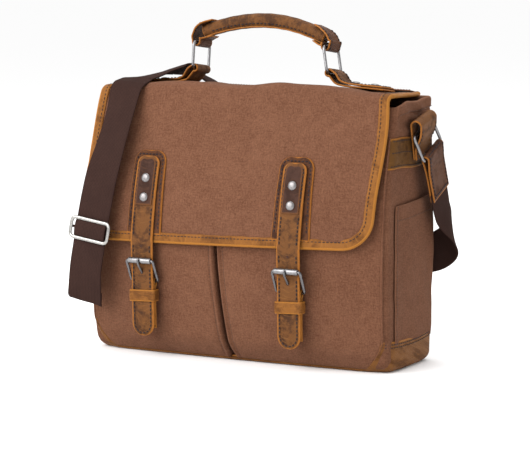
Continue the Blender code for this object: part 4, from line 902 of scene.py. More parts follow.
def boot_point(c, z):
    k, t = int(c) % 4, c - int(c)
    under = 0.009 * (1 - math.sqrt(max(1 - (1 - min(z / 0.011, 1)) ** 2, 0)))
    xs = 0.1885 - 0.0250 * max(0.0, 1 - z / 0.040) ** 1.6
    ys = float(smooth(CORNER_LINE, z)) - 0.0022 + 0.006 * max(0.0, 1 - z / 0.012) ** 2
    yb = float(smooth(SEAM_BACK, z)) + 0.0024 - under
    hx = 0.1960 - under
    if k == 0:
        f = 2 * t - 1
        x = f * xs
        depth = 1 - 0.52 * max(0.0, 1 - z / 0.028) ** 2.2
        y = float(front_y(x, z)) + float(pocket_y(x, z) - front_y(x, z)) * depth
        y = y + (ys - y) * max(0.0, (abs(f) - 0.93) / 0.07) ** 2 + (0.0030 if z > 0.0035 else 0.0012) * (1 - max(0.0, (abs(f) - 0.97) / 0.03))
        return (x, y)
    if k == 2:
        f = 1 - 2 * t
        return (f * (hx - 0.009), float(back_y(f * HALF_W, z)) + 0.0026 - under)
    sign = 1 if k == 1 else -1
    tt = t if k == 1 else 1 - t
    span = yb - ys
    pts = np.array([(xs + 0.0006, ys), (hx - 0.0050, ys + 0.0075), (hx - 0.0010, ys + 0.021), (hx + 0.0004, ys + span * 0.5),
                    (hx - 0.0004, yb - 0.017), (hx - 0.0032, yb - 0.0045), (hx - 0.009, yb)])
    place = np.array([0, 0.10, 0.22, 0.5, 0.80, 0.93, 1.0])
    x = smooth(list(zip(place, pts[:, 0])), tt)
    y = smooth(list(zip(place, pts[:, 1])), tt)
    return (sign * float(x), float(y))


def boot_top(c):
    k, t = int(c) % 4, c - int(c)
    if k == 0:
        f = abs(2 * t - 1)
        start = 0.95 if t > 0.5 else 0.988
        return 0.0042 + 0.033 * max(0.0, (f - start) / (1 - start)) ** 1.5
    if k == 2:
        return 0.0360
    tt = t if k == 1 else 1 - t
    return 0.0372 - 0.0035 * math.sin(math.pi * tt) + 0.0015 * tt


rows = []
for s in (0.02, 0.35, 0.7, 0.9, 0.97):
    rows.append([(boot_point(c, 0.0)[0] * (0.6 + 0.4 * s), boot_point(c, 0.0)[1] * s, 0.0004) for c in boot_c])
for s in np.concatenate([[0.0, 0.02, 0.05], np.linspace(0.1, 0.97, 22), [1.0]]):
    rows.append([(*boot_point(c, 0.0004 + (boot_top(c) - 0.0004) * s), 0.0004 + (boot_top(c) - 0.0004) * s) for c in boot_c])
P = np.array(rows)
hint = P * np.array([1, 1, 0]) + np.array([0, 0, -0.02])
sheet("leather_boot", P, 0.0024, (BOOT, EDGE, BOOT), "bag", hint, wrap=True, soften=0.0004, slot="leather",
      replaces=("base_leather",))
for lo, hi in ((1.03, 1.97), (2.0, 3.0), (3.03, 3.97)):
    cs = np.linspace(lo, hi, 90)
    for down in (0.0030, 0.0066) if hi - lo < 0.99 else (0.0030,):
        line = np.array([(*boot_point(c, boot_top(c) - down), boot_top(c) - down) for c in cs])
        stitch("boot", "bag", line + outward(line) * 0.0012, outward(line), pitch=0.0050, length=0.0037, radius=0.00050)

# slip pockets and leather bands on both ends
for side, sign, k in (("left", -1, 3), ("right", 1, 1)):
    def end_c(t):
        return k + (t if k == 1 else 1 - t)

    ts = np.linspace(0.15, 0.955, 60)
    w = np.concatenate([[0, 0.004], np.linspace(0.02, 0.96, 44), [0.99, 1.0]])
    z_top = 0.1865 + 0.0080 * (ts - 0.1)
    Z = 0.030 + (z_top[None, :] - 0.030) * w[:, None]
    loose = 0.0026 + 0.0022 * np.sin(math.pi * np.clip((ts - 0.15) / 0.8, 0, 1))[None, :] * w[:, None] ** 3
    P = shell(end_c(np.broadcast_to(ts, Z.shape)), Z, loose)
    sheet(side + "_slip_pocket", P, 0.0020, (CANVAS, CANVAS, CANVAS_IN), "bag", outward(P), soften=0.0006, slot="canvas",
          replaces=(side + "_side_pocket",))
    row = P[-6, 1:-1] + outward(P[-6, 1:-1]) * 0.0011
    stitch("canvas_bag", "bag", row, outward(row), pitch=0.0034, length=0.0025, radius=0.00030)
    col = P[:, 2] + outward(P[:, 2]) * 0.0011
    stitch("canvas_bag", "bag", col, outward(col), pitch=0.0034, length=0.0025, radius=0.00030)

    ts = np.concatenate([[0.015, 0.020], np.linspace(0.04, 0.96, 56), [0.98, 0.985]])
    w = np.concatenate([[0, 0.015, 0.045], np.linspace(0.1, 0.9, 13), [0.955, 0.985, 1.0]])
    Z = 0.2280 + 0.0340 * np.broadcast_to(w[:, None], (len(w), len(ts)))
    Z = Z + 0.0008 * np.sin(ts * 9.0)[None, :]
    P = shell(end_c(np.broadcast_to(ts, Z.shape)), Z, 0.0024, 0.45)
    sheet(side + "_leather_band", P, 0.0020, (BANDED, EDGE, BANDED), "bag", outward(P), soften=0.0006, slot="leather",
          replaces=(side + "_side_band",))
    for up in (0.0032, 0.0180, 0.0308):
        line = shell(end_c(np.linspace(0.03, 0.97, 60)), 0.2280 + up + 0.0008 * np.sin(np.linspace(0.03, 0.97, 60) * 9.0), 0.0025, 0.45)
        stitch("boot", "bag", line, outward(line), pitch=0.0047, length=0.0035, radius=0.00048)

# ---------------------------------------------------------------- flap
def bend_point(extra, part):
    start = math.radians(90) - TOP_SLOPE
    ang = start + (math.radians(180) - start) * part
    return BEND_Y + (BEND_R + extra) * math.cos(ang), BEND_Z + (BEND_R + extra) * math.sin(ang)


def top_sag(x, t):
    far = np.clip((np.abs(x + 0.003) - 0.080) / 0.110, 0.0, 1.0)
    return TOP_HUMP * (1 - (x / 0.21) ** 2) * math.sin(math.pi * min(t, 1.0)) - TOP_DROOP * far ** 1.5 * t ** 0.6


JOIN = bend_point(0, 0)
SEAM_Y = SEAM_HINGE[0] - 0.0005
TOP_Z0 = (SEAM_Y, JOIN[1] - (SEAM_Y - JOIN[0]) * math.tan(TOP_SLOPE))


def top_x(u, t):
    left = SEAM_ENDS[0] + (float(smooth(FLAP_LEFT, 0.31)) - SEAM_ENDS[0]) * t
    right = SEAM_ENDS[1] + (float(smooth(FLAP_RIGHT, 0.31)) - SEAM_ENDS[1]) * t
    return left + (right - left) * u


def on_top(x, v, n):
    c, s = math.cos(TOP_SLOPE), math.sin(TOP_SLOPE)
    y, z = TOP_Z0
    return Vector((x, y + v * c + n * s, z - v * s + n * c))


def edge_shift(x, z):
    return z + FLAP_RISE * x * np.maximum(0.0, 1 - (z - FLAP_EDGE_Z) / 0.08)


def flap_ends(z):
    left, right = float(smooth(FLAP_LEFT, z)), float(smooth(FLAP_RIGHT, z))
    d = FLAP_EDGE_Z + FLAP_R - z
    if d > 0:
        cut = FLAP_R - math.sqrt(max(FLAP_R ** 2 - d ** 2, 0.0))
        left, right = left + cut, right - cut
    return left, right


us = np.concatenate([[0, 0.002], np.linspace(0.006, 0.994, 130), [0.998, 1.0]])
rows = []
for t in np.linspace(0, 1, 9):
    y = SEAM_Y + (JOIN[0] - SEAM_Y) * t
    x = top_x(us, t)
    rows.append(np.stack([x, np.full_like(x, y), JOIN[1] - (y - JOIN[0]) * math.tan(TOP_SLOPE) + top_sag(x, t)], 1))
for part in (0.25, 0.5, 0.75):
    y, z = bend_point(0, part)
    x = top_x(us, 1)
    rows.append(np.stack([x, np.full_like(x, y), z + top_sag(x, 1)], 1))
low = [FLAP_EDGE_Z + FLAP_R * (1 - math.sin(math.radians(a))) for a in (8, 16, 24, 32, 40, 48, 56, 64, 72, 80, 86, 90)]
for z in [0.290, 0.275, 0.255, 0.235, 0.215, 0.195, FLAP_EDGE_Z + FLAP_R] + low:
    a, b = flap_ends(z)
    x = a + (b - a) * us
    zz = edge_shift(x, z)
    rows.append(np.stack([x, flap_y(x, zz), zz], 1))
coarse = np.array(rows)
# finer rows, evenly spaced on the middle column except over the rounded corners
dense = np.stack([through(coarse[:, j], (len(coarse) - 1) * 8 + 1) for j in range(coarse.shape[1])], 1)
keep = list(range(0, 19 * 8, 3)) + list(range(19 * 8, len(dense) - 1, 5)) + [len(dense) - 1]
P = dense[keep]
N = normals(P, np.stack([P[..., 0] * 0, P[..., 1] * 0 - 0.5, P[..., 2] * 0 + 0.5], -1))
X, Zc = P[..., 0], P[..., 2]
along = arcs(P)[1]
length = along[-1:]
free = np.clip(np.minimum(np.minimum((us[None, :]) * 0.37, (1 - us[None, :]) * 0.37), length - along) / 0.028, 0, 1)
free = ease01(free) * ease01(along / 0.03)
under_strap = sum(np.exp(-((X - s) / 0.026) ** 4) for s in (-0.106, 0.0855)) * (Zc < 0.25)
wave = 0.0017 * swell(X, along, 33, 0.17, 0.045, 11)
wave += 0.0014 * ridge(X, along, 0.050, 0.075, 0.060, 0.220, 0.020) - 0.0012 * ridge(X, along, -0.020, 0.09, -0.045, 0.23, 0.024)
wave += 0.0011 * ridge(X, along, 0.150, 0.13, 0.120, 0.25, 0.014)
P = P + N * (wave * free * (1 - 0.8 * under_strap))[..., None]
N = normals(P, N)
FLAP_P, FLAP_N = P, N
FOLD = ((0, -0.0330, 0.3195), (0, -0.0510, 0.3050))
flap_cloth = slab("flap_cloth", P, P - N * 0.0022, (CANVAS, CANVAS, CANVAS_IN), ("flap_top", "flap_front", *FOLD),
                  slot="canvas", replaces=("flap_top_panel", "flap_front_panel"))

# leather binding, folded over the flap's free edge from one end of the rear seam to the other
ring_p = np.concatenate([P[:, 0], P[-1, 1:-1], P[::-1, -1]])
ring_n = np.concatenate([N[:, 0], N[-1, 1:-1], N[::-1, -1]])
both = even(np.concatenate([ring_p, ring_n], 1), count=520)
s = np.concatenate([[0], np.cumsum(np.linalg.norm(np.diff(ring_p, axis=0), axis=1))])
tt = np.linspace(0, s[-1], 520)
bp = np.stack([np.interp(tt, s, ring_p[:, k]) for k in range(3)], 1)
bn = np.stack([np.interp(tt, s, ring_n[:, k]) for k in range(3)], 1)
soft = np.ones(9) / 9


def softened(a, times=2):
    for _ in range(times):
        padded_ = np.concatenate([np.repeat(a[:1], 4, 0), a, np.repeat(a[-1:], 4, 0)])
        a = np.stack([np.convolve(padded_[:, k], soft, "valid") for k in range(a.shape[1])], 1)
    return a


bn = softened(bn)
bt = np.gradient(softened(bp, 1), axis=0)
bt /= np.linalg.norm(bt, axis=1)[:, None]
bn -= (bn * bt).sum(1)[:, None] * bt
bn /= np.linalg.norm(bn, axis=1)[:, None]
bi = np.cross(bn, bt)
centre = np.array([0.0, 0.0, 0.0])
if ((P[len(P) // 2, len(us) // 2] - bp[130]) @ bi[130]) < 0:
    bi = -bi
W = 0.0102
section = [(W, 0.0002), (W + 0.0001, 0.0010), (W - 0.0006, 0.0015), (W * 0.75, 0.0017), (W * 0.45, 0.0015), (0.0022, 0.0017),
           (0.0004, 0.0013), (-0.0009, 0.0004), (-0.0014, -0.0011), (-0.0009, -0.0026), (0.0004, -0.0034), (0.0022, -0.0038),
           (W * 0.5, -0.0036), (W - 0.0006, -0.0037), (W, -0.0032), (W, -0.0024)]
wob = 0.0002 * np.sin(np.arange(520) * 0.61) + 0.00025 * np.sin(np.arange(520) * 0.23 + 1.0)
verts, faces, uvs, look, edges = [], [], [], [], []
m = len(section)
arc = [0.0]
for a, b in zip(section, section[1:] + section[:1]):
    arc.append(arc[-1] + math.hypot(a[0] - b[0], a[1] - b[1]))
for i in range(520):
    for a, b in section:
        verts.append(bp[i] + bi[i] * (a + wob[i] * (a > 0.004)) + bn[i] * (b + 0.5 * wob[i] * (b > 0.001)))
        edges.append(1.0 if a > W - 0.0004 or abs(a) < 0.0015 else 0.0)
for i in range(519):
    for j in range(m):
        k = (j + 1) % m
        faces.append([i * m + j, i * m + k, (i + 1) * m + k, (i + 1) * m + j])
        uvs.append([(arc[j], tt[i]), (arc[j + 1], tt[i]), (arc[j + 1], tt[i + 1]), (arc[j], tt[i + 1])])
        look.append(1 if j in (0, m - 1, m - 2) else 0)
for i in (0, 519):
    faces.append([i * m + j for j in range(m)][::(1 if i else -1)])
    uvs.append([(0.0, 0.0)] * m)
    look.append(1)
build("flap_edge_binding", verts, faces, uvs, [TAN, EDGE], look, ("flap_top", "flap_front", *FOLD), slot="binding",
      replaces=("flap_binding",), edge=edges)
stitch("flap_edge", ("flap_top", "flap_front", *FOLD), bp + bi * 0.0074 + bn * 0.00165, bn, pitch=0.0046, length=0.0034,
       radius=0.00048)
stitch("flap_edge", ("flap_top", "flap_front", *FOLD), bp + bi * 0.0074 - bn * 0.0037, -bn, pitch=0.0046, length=0.0034,
       radius=0.00045)

# strip that joins the back to the flap and bends at the rear seam
ys_z = even(through([(0.0545, 0.262), (0.0548, 0.275), (0.0550, 0.289), (0.0560, 0.298), (0.0588, 0.3030), (0.0592, 0.3065),
                     (0.0560, 0.3092), (0.0500, 0.3102), (0.0430, 0.3112)], 80), count=44)
xs = np.linspace(-0.178, 0.170, 110)
P = np.array([[(x, y, z + (0.0004 * math.sin(x * 60))) for x in xs] for y, z in ys_z])
hint = np.zeros_like(P)
hint[..., 1:] = (1, 0.6)
sheet("rear_seam_strip", P, 0.0018, (CANVAS, CANVAS, CANVAS_IN), ("bag", "flap_top", (0, 0.0560, 0.2985), (0, 0.0565, 0.3085)),
      hint, soften=0.0005, slot="canvas")
N = normals(P, hint)
for i, key, body in ((3, "canvas_bag", "bag"), (40, "canvas_flap", "flap_top")):
    stitch(key, body, P[i] + N[i] * 0.0002, N[i], pitch=0.0036, length=0.0026, radius=0.00032, look=THREAD_TAN)

# ---------------------------------------------------------------- closures
STRAP_X, STRAP_W, STRAP_T = (-0.1060, 0.0855), 0.0290, 0.0024
ROLLER_Z, HEEL_Z, ROLLER_R, WIRE_R, TIP_Z, CHAPE_END_Z = 0.1135, 0.0890, 0.0033, 0.0015, 0.0250, 0.0340
KEEPER_Z0, KEEPER_Z1 = 0.0655, 0.0790
LIFT = 0.0035
GAP = 0.0005


def rounded_rectangle(half_a, half_b, radius, steps=8):
    out = []
    for ca, cb, start in ((half_a - radius, half_b - radius, 0), (-half_a + radius, half_b - radius, 90),
                          (-half_a + radius, -half_b + radius, 180), (half_a - radius, -half_b + radius, 270)):
        for k in range(steps + 1):
            ang = math.radians(start + 90 * k / steps)
            out.append((ca + radius * math.cos(ang), cb + radius * math.sin(ang)))
    return out


def dome_top(z, top, half, radius, low=0.0045):
    d = max(radius - (top - z), 0.0)
    if d <= 0:
        return half
    return max(half - radius + math.sqrt(max(radius ** 2 - d ** 2, 0.0)), low)


def patch_rows(top, bottom, radius, count=46):
    """Heights that crowd together over a rounded top end."""
    a = np.linspace(0, math.pi / 2, 14)
    return np.concatenate([top - radius * (1 - np.cos(a)), np.linspace(top - radius, bottom, count)[1:]])


def border(half_at, zs, inset):
    """Outline inset from a shape with a rounded top: up one side, over the top and down the other."""
    left, right = [], []
    top = max(zs)
    for z in sorted(zs):
        if z > top - inset:
            continue
        h = half_at(min(z + 0.0, top)) - inset
        if h > 0.0012:
            left.append((-h, z))
            right.append((h, z))
    return left + right[::-1]


for side, xs in zip(("left", "right"), STRAP_X):
    tail_body = side + "_tail"

    def face_y(x, z):
        return flap_y(x, z)

    # patch with a raised rolled edge and a row of stitches
    top = 0.2390
    bottom = float(edge_shift(xs, FLAP_EDGE_Z + 0.0100)) - 0.0015

    def patch_half(z):
        h = 0.0208 + (0.0235 - 0.0208) * (top - z) / (top - bottom)
        return dome_top(z, top, h, 0.0125)

    zs = patch_rows(top, bottom, 0.0125)
    O, I = [], []
    for i, z in enumerate(zs):
        h = patch_half(z)
        s = steps_across(h, 17)
        d = np.minimum(h - np.abs(s), top - z)
        raised = 0.0007 * np.exp(-((d - 0.0016) / 0.0011) ** 2)
        roll = 0.0006 * (np.clip(1 - d / 0.0009, 0, 1)) ** 2
        y = face_y(xs + s, z)
        O.append(np.stack([xs + s, y - 0.0021 - raised + roll, np.full_like(s, z)], 1))
        I.append(np.stack([xs + s, y - 0.0002, np.full_like(s, z)], 1))
    slab(side + "_patch", np.array(O), np.array(I), (BROWN, EDGE, BROWN), "flap_front", slot="leather",
         replaces=(side + "_strap_patch",), reach=0.0030)
    zz = np.concatenate([np.linspace(bottom + 0.006, top - 0.0125, 40), top - 0.0125 + 0.0125 * np.sin(np.linspace(0, math.pi / 2, 16))[1:]])
    for inset in (0.0034,):
        line = border(patch_half, zz, inset)
        pts = np.array([(xs + a, float(face_y(xs + a, z)) - 0.0022, z) for a, z in line])
        stitch("straps_" + side, "flap_front", even(pts, 0.0012), (0, -1, 0), pitch=0.0046, length=0.0034, radius=0.00070)

    # strap: sewn to the flap above, hanging free below its edge
    y_top = float(flap_y(xs, FLAP_EDGE_Z)) - LIFT - STRAP_T / 2
    y_low = y_top + 0.0035

    def tail_y(z):
        return y_top + (y_low - y_top) * (FLAP_EDGE_Z - z) / (FLAP_EDGE_Z - TIP_Z)

    top = 0.2330
    a = np.linspace(0, math.pi / 2, 12)
    upper = np.concatenate([top - 0.009 * (1 - np.cos(a)), np.linspace(top - 0.009, 0.1400, 40)[1:]])
    lower = np.linspace(0.1375, TIP_Z + 0.0145, 52)
    tip = TIP_Z + 0.0145 - 0.0145 * np.sin(np.radians(np.linspace(0, 84, 14)))[1:]
    zs = np.concatenate([upper, lower, tip])
    half, path = [], []
    for z in zs:
        if z > 0.1380:
            y = float(flap_y(xs, z)) - LIFT - STRAP_T / 2
            h = dome_top(z, top, STRAP_W / 2, 0.009)
        else:
            y = tail_y(z)
            h = STRAP_W / 2
            if z < TIP_Z + 0.0145:
                h = max(STRAP_W / 2 * math.sqrt(max(1 - ((TIP_Z + 0.0145 - z) / 0.0147) ** 2, 0)), 0.0015)
            if 0.0835 < z < 0.1110:      # eased in a little where the buckle's frame passes
                h -= 0.0004
        half.append(h)
        path.append((xs, y, z))
    pivot_y, pivot_z = y_top, FLAP_EDGE_Z
    fold = ("flap_front", tail_body, (xs, pivot_y, pivot_z + 0.0050), (xs, pivot_y, pivot_z - 0.0040))
    strap(side + "_closure_strap", path, (-1, 0, 0), half, STRAP_T, (OLIVE, EDGE, EDGE_DARK), fold, crown=0.0003, n=17, reach=0.0046,
          slot="leather", replaces=(side + "_strap_upper", side + "_strap_tail"))
    front = STRAP_T / 2 + 0.00035
    for off in (-1, 1):
        zz = np.linspace(0.176, 0.1425, 40)
        pts = [(xs + off * (STRAP_W / 2 - 0.0036), float(flap_y(xs, z)) - LIFT - STRAP_T - 0.0003, z) for z in zz]
        stitch("straps_" + side, "flap_front", pts, (0, -1, 0), pitch=0.0046, length=0.0034, radius=0.00070)
        zz = np.linspace(0.1330, 0.1190, 16)
        pts = [(xs + off * (STRAP_W / 2 - 0.0036), tail_y(z) - front, z) for z in zz]
        stitch("tail_" + side, tail_body, pts, (0, -1, 0), pitch=0.0046, length=0.0034, radius=0.00070)
    loop = [(-(STRAP_W / 2 - 0.0036), z) for z in np.linspace(0.1075, TIP_Z + 0.0145, 50)]
    loop += [(-(STRAP_W / 2 - 0.0036) * math.cos(b), TIP_Z + 0.0145 - 0.0112 * math.sin(b)) for b in np.linspace(0.1, math.pi - 0.1, 30)]
    loop += [(STRAP_W / 2 - 0.0036, z) for z in np.linspace(TIP_Z + 0.0145, 0.1075, 50)]
    pts = np.array([(xs + a, tail_y(z) - front, z) for a, z in loop])
    stitch("tail_" + side, tail_body, even(pts, 0.001), (0, -1, 0), pitch=0.0046, length=0.0034, radius=0.00070)
    # punched holes: each is a dark disc on the strap, painted shade of the hole
    for z in (0.1300,):
        turned_piece(f"{side}_punched_hole", (xs, tail_y(z) - STRAP_T / 2 - 0.00036, z), (0, -1, 0),
                     ((0, 0), (0.0013, 0), (0.0012, 0.00012), (0.0007, -0.0002), (0, -0.0003)), DARK_LEATHER_AND_HOLE_SHADE, tail_body, 20, slot="leather")

    # dark overlay and its rivets
    top = 0.2300
    def over_half(z):
        return dome_top(z, top, 0.0108, 0.0062, 0.0040)
    a = np.linspace(0, math.pi / 2, 12)
    zs = np.concatenate([top - 0.0062 * (1 - np.cos(a)), np.linspace(top - 0.0062, 0.1775, 34)[1:]])
    path = [(xs, float(flap_y(xs, z)) - LIFT - STRAP_T - 0.0003 - 0.0006, z) for z in zs]
    strap(side + "_overlay", path, (-1, 0, 0), [over_half(z) for z in zs], 0.0012, (DARK_LEATHER_AND_HOLE_SHADE, EDGE_DARK, DARK_LEATHER_AND_HOLE_SHADE), "flap_front",
          crown=0.0002, n=9, slot="leather", replaces=(side + "_strap_overlay",))
    zz = np.concatenate([np.linspace(0.181, top - 0.010, 26), top - 0.010 + 0.010 * np.sin(np.linspace(0, math.pi / 2, 12))[1:]])
    line = border(lambda z: STRAP_W / 2 - 0.0002 if z < 0.2235 else dome_top(z, 0.233, STRAP_W / 2, 0.009), zz, 0.0030)
    pts = np.array([(xs + q, float(flap_y(xs, z)) - LIFT - STRAP_T - 0.0003, z) for q, z in line])
    stitch("straps_" + side, "flap_front", even(pts, 0.001), (0, -1, 0), pitch=0.0046, length=0.0034, radius=0.00070)
    for place, z in (("upper", 0.2085), ("lower", 0.1865)):
        y = float(flap_y(xs, z)) - LIFT - STRAP_T - 0.0017
        turned_piece(f"{side}_{place}_rivet_seat", (xs, y + 0.0001, z), (0, -1, 0.20),
                     ((0, 0), (0.0064, 0), (0.0063, 0.0004), (0.0054, 0.0003), (0, 0.0003)), DARK_LEATHER_AND_HOLE_SHADE, "flap_front", 32, slot="leather")
        turned_piece(f"{side}_{place}_rivet_cap", (xs, y, z), (0, -1, 0.20),
                     ((0, 0), (0.0052, 0), (0.0053, 0.0004), (0.0050, 0.0009), (0.0043, 0.0015), (0.0032, 0.0020),
                      (0.0018, 0.0023), (0, 0.0024)), RIVET, "flap_front", slot="nickel", replaces=(f"{side}_{place}_rivet",))

    # buckle
    roller_y = tail_y(ROLLER_Z) - STRAP_T / 2 - 0.0006 - ROLLER_R
    heel_y = tail_y(HEEL_Z) + STRAP_T / 2 + 0.0006 + 0.0020 + 0.0004 + WIRE_R
    bar_a, bar_b = Vector((xs, roller_y, ROLLER_Z)), Vector((xs, heel_y, HEEL_Z))
    half_h = (bar_b - bar_a).length / 2
    down = (bar_b - bar_a).normalized()
    mid = (bar_a + bar_b) / 2
    bow_out = down.cross(Vector((1, 0, 0)))
    if bow_out.y > 0:
        bow_out = -bow_out
    loop = []
    for q, b in rounded_rectangle(0.0178, half_h, 0.0026, 6):
        loop.append(mid + Vector((q, 0, 0)) + down * b + bow_out * (0.0012 * (1 - (b / half_h) ** 2)))
    loop = even(np.array([tuple(p) for p in loop] + [tuple(loop[0])]), 0.0011)[:-1]
    wire(side + "_frame_wire", loop, 0.00175, GUN, tail_body, cyclic=True, sides=16, slot="gunmetal",
         replaces=(side + "_buckle_frame",))
    prof = [(-1.0, 0.0027), (-0.985, 0.0032), (-0.95, 0.00345), (0.95, 0.00345), (0.985, 0.0032), (1.0, 0.0027)]
    O = [[(xs + q * 0.0149, roller_y + r * math.cos(b), ROLLER_Z + r * math.sin(b)) for b in np.linspace(0, 2 * math.pi, 33)[:-1]]
         for q, r in prof]
    I = [[(xs + q * 0.0149, roller_y + 0.0019 * math.cos(b), ROLLER_Z + 0.0019 * math.sin(b)) for b in np.linspace(0, 2 * math.pi, 33)[:-1]]
         for q, r in prof]
    slab(side + "_roller_sleeve", np.array(O), np.array(I), (STEEL, STEEL, STEEL), side + "_roller", wrap=True, rim=0.02,
         slot="nickel", replaces=(side + "_buckle_roller",))
    pts = []
    eye = WIRE_R + 0.0004 + 0.0011
    for k in range(9):
        ang = math.radians(-20 - 250 * k / 8)
        pts.append(bar_b + Vector((0, eye * math.cos(ang), eye * math.sin(ang))))
    sy = tail_y(0.0985)
    pts += [Vector((xs, sy + 0.0030, 0.0945)), Vector((xs, sy - 0.0012, 0.1000)),
            Vector((xs, roller_y - ROLLER_R * 0.55 - 0.0014, ROLLER_Z - 0.0045)),
            Vector((xs, roller_y - ROLLER_R - 0.0016, ROLLER_Z - 0.0004)),
            Vector((xs, roller_y - ROLLER_R - 0.0010, ROLLER_Z + 0.0028))]
    pts = through([tuple(p) for p in pts], 66)
    rad = np.interp(np.linspace(0, 1, 66), [0, 0.55, 0.85, 1.0], [0.0010, 0.0014, 0.0015, 0.0009])
    wire(side + "_prong_wire", pts, rad, GUN, side + "_prong", sides=14, slot="gunmetal", replaces=(side + "_buckle_prong",))
    # dark disc where the prong comes through the strap: painted shade of the slot
    turned_piece(side + "_prong_slot", (xs, tail_y(0.0995) - STRAP_T / 2 - 0.00034, 0.0995), (0, -1, 0),
                 ((0, 0), (0.0021, 0), (0.0020, 0.0001), (0, 0.00005)), DARK_LEATHER_AND_HOLE_SHADE, tail_body, 20, slot="leather")

    # chape: two layers behind the tail
    t = 0.0018
    r_mid = WIRE_R + 0.0004 + t / 2
    line = [(tail_y(CHAPE_END_Z + 0.002) + STRAP_T / 2 + GAP + t / 2 + 0.0006, CHAPE_END_Z + 0.004),
            (tail_y(0.060) + STRAP_T / 2 + GAP + t / 2 + 0.0002, 0.060),
            (tail_y(0.079) + STRAP_T / 2 + GAP + t / 2 + 0.0002, 0.0785), (heel_y - r_mid + 0.0001, HEEL_Z - 0.003)]
    for k in range(7):
        ang = math.radians(180 - 180 * k / 6)
        line.append((heel_y + r_mid * math.cos(ang), HEEL_Z + r_mid * math.sin(ang)))
    line += [(heel_y + r_mid - 0.0002, HEEL_Z - 0.003), (tail_y(0.0785) + STRAP_T / 2 + GAP + 1.5 * t + 0.0014, 0.0785),
             (tail_y(0.055) + STRAP_T / 2 + GAP + 1.5 * t + 0.0010, 0.055),
             (tail_y(CHAPE_END_Z) + STRAP_T / 2 + GAP + 1.5 * t + 0.0012, CHAPE_END_Z)]
    path = through([(xs, y, z) for y, z in line], 110)
    strap(side + "_chape", path, (1, 0, 0), 0.0142, t, (TAN, EDGE, TAN), tail_body, slot="binding",
          replaces=(side + "_buckle_chape",))

    # keeper
    y_f = tail_y(KEEPER_Z0) - STRAP_T / 2 - 0.0008
    y_b = tail_y(0.070) + STRAP_T / 2 + GAP + 2 * t + 0.0021
    cy, hy = (y_f + y_b) / 2, (y_b - y_f) / 2
    O, I = [], []
    for q in (0.0, 0.03, 0.10, 0.25, 0.5, 0.75, 0.90, 0.97, 1.0):
        z = KEEPER_Z0 + (KEEPER_Z1 - KEEPER_Z0) * q
        puff = 0.0004 * math.sin(math.pi * q) - 0.0004 * (abs(2 * q - 1) > 0.99)
        tilt = 0.0006
        O.append([(xs + u, cy + b, z + tilt * u / 0.016) for u, b in rounded_rectangle(0.0155 + 0.0016 + puff, hy + 0.0016 + puff, 0.0030, 8)])
        I.append([(xs + u, cy + b, z + tilt * u / 0.016) for u, b in rounded_rectangle(0.0155, hy, 0.0016, 8)])
    slab(side + "_keeper_loop", np.array(O), np.array(I), (TAN, EDGE, TAN), tail_body, wrap=True, slot="binding",
         replaces=(side + "_keeper",), rim=0.1)

# ---------------------------------------------------------------- handle
RING_BARS = {"left": ((-0.0905, 0.0185), (-0.0905, 0.0500)), "right": ((0.0865, 0.0170), (0.0800, 0.0475))}
HANDLE_V, HANDLE_W, RING_WIRE, GRIP_R = -0.0430, 0.0314, 0.0017, 0.0080
axis_v = on_top(0, 1, 0) - on_top(0, 0, 0)
up_n = on_top(0, 0, 1) - on_top(0, 0, 0)
HANDLE_T = -HANDLE_V / (SEAM_Y - JOIN[0]) * math.cos(TOP_SLOPE)
bars = {side: tuple(on_top(x, HANDLE_V, n) for x, n in RING_BARS[side]) for side in RING_BARS}


def top_at(x):
    return float(top_sag(x, HANDLE_T))


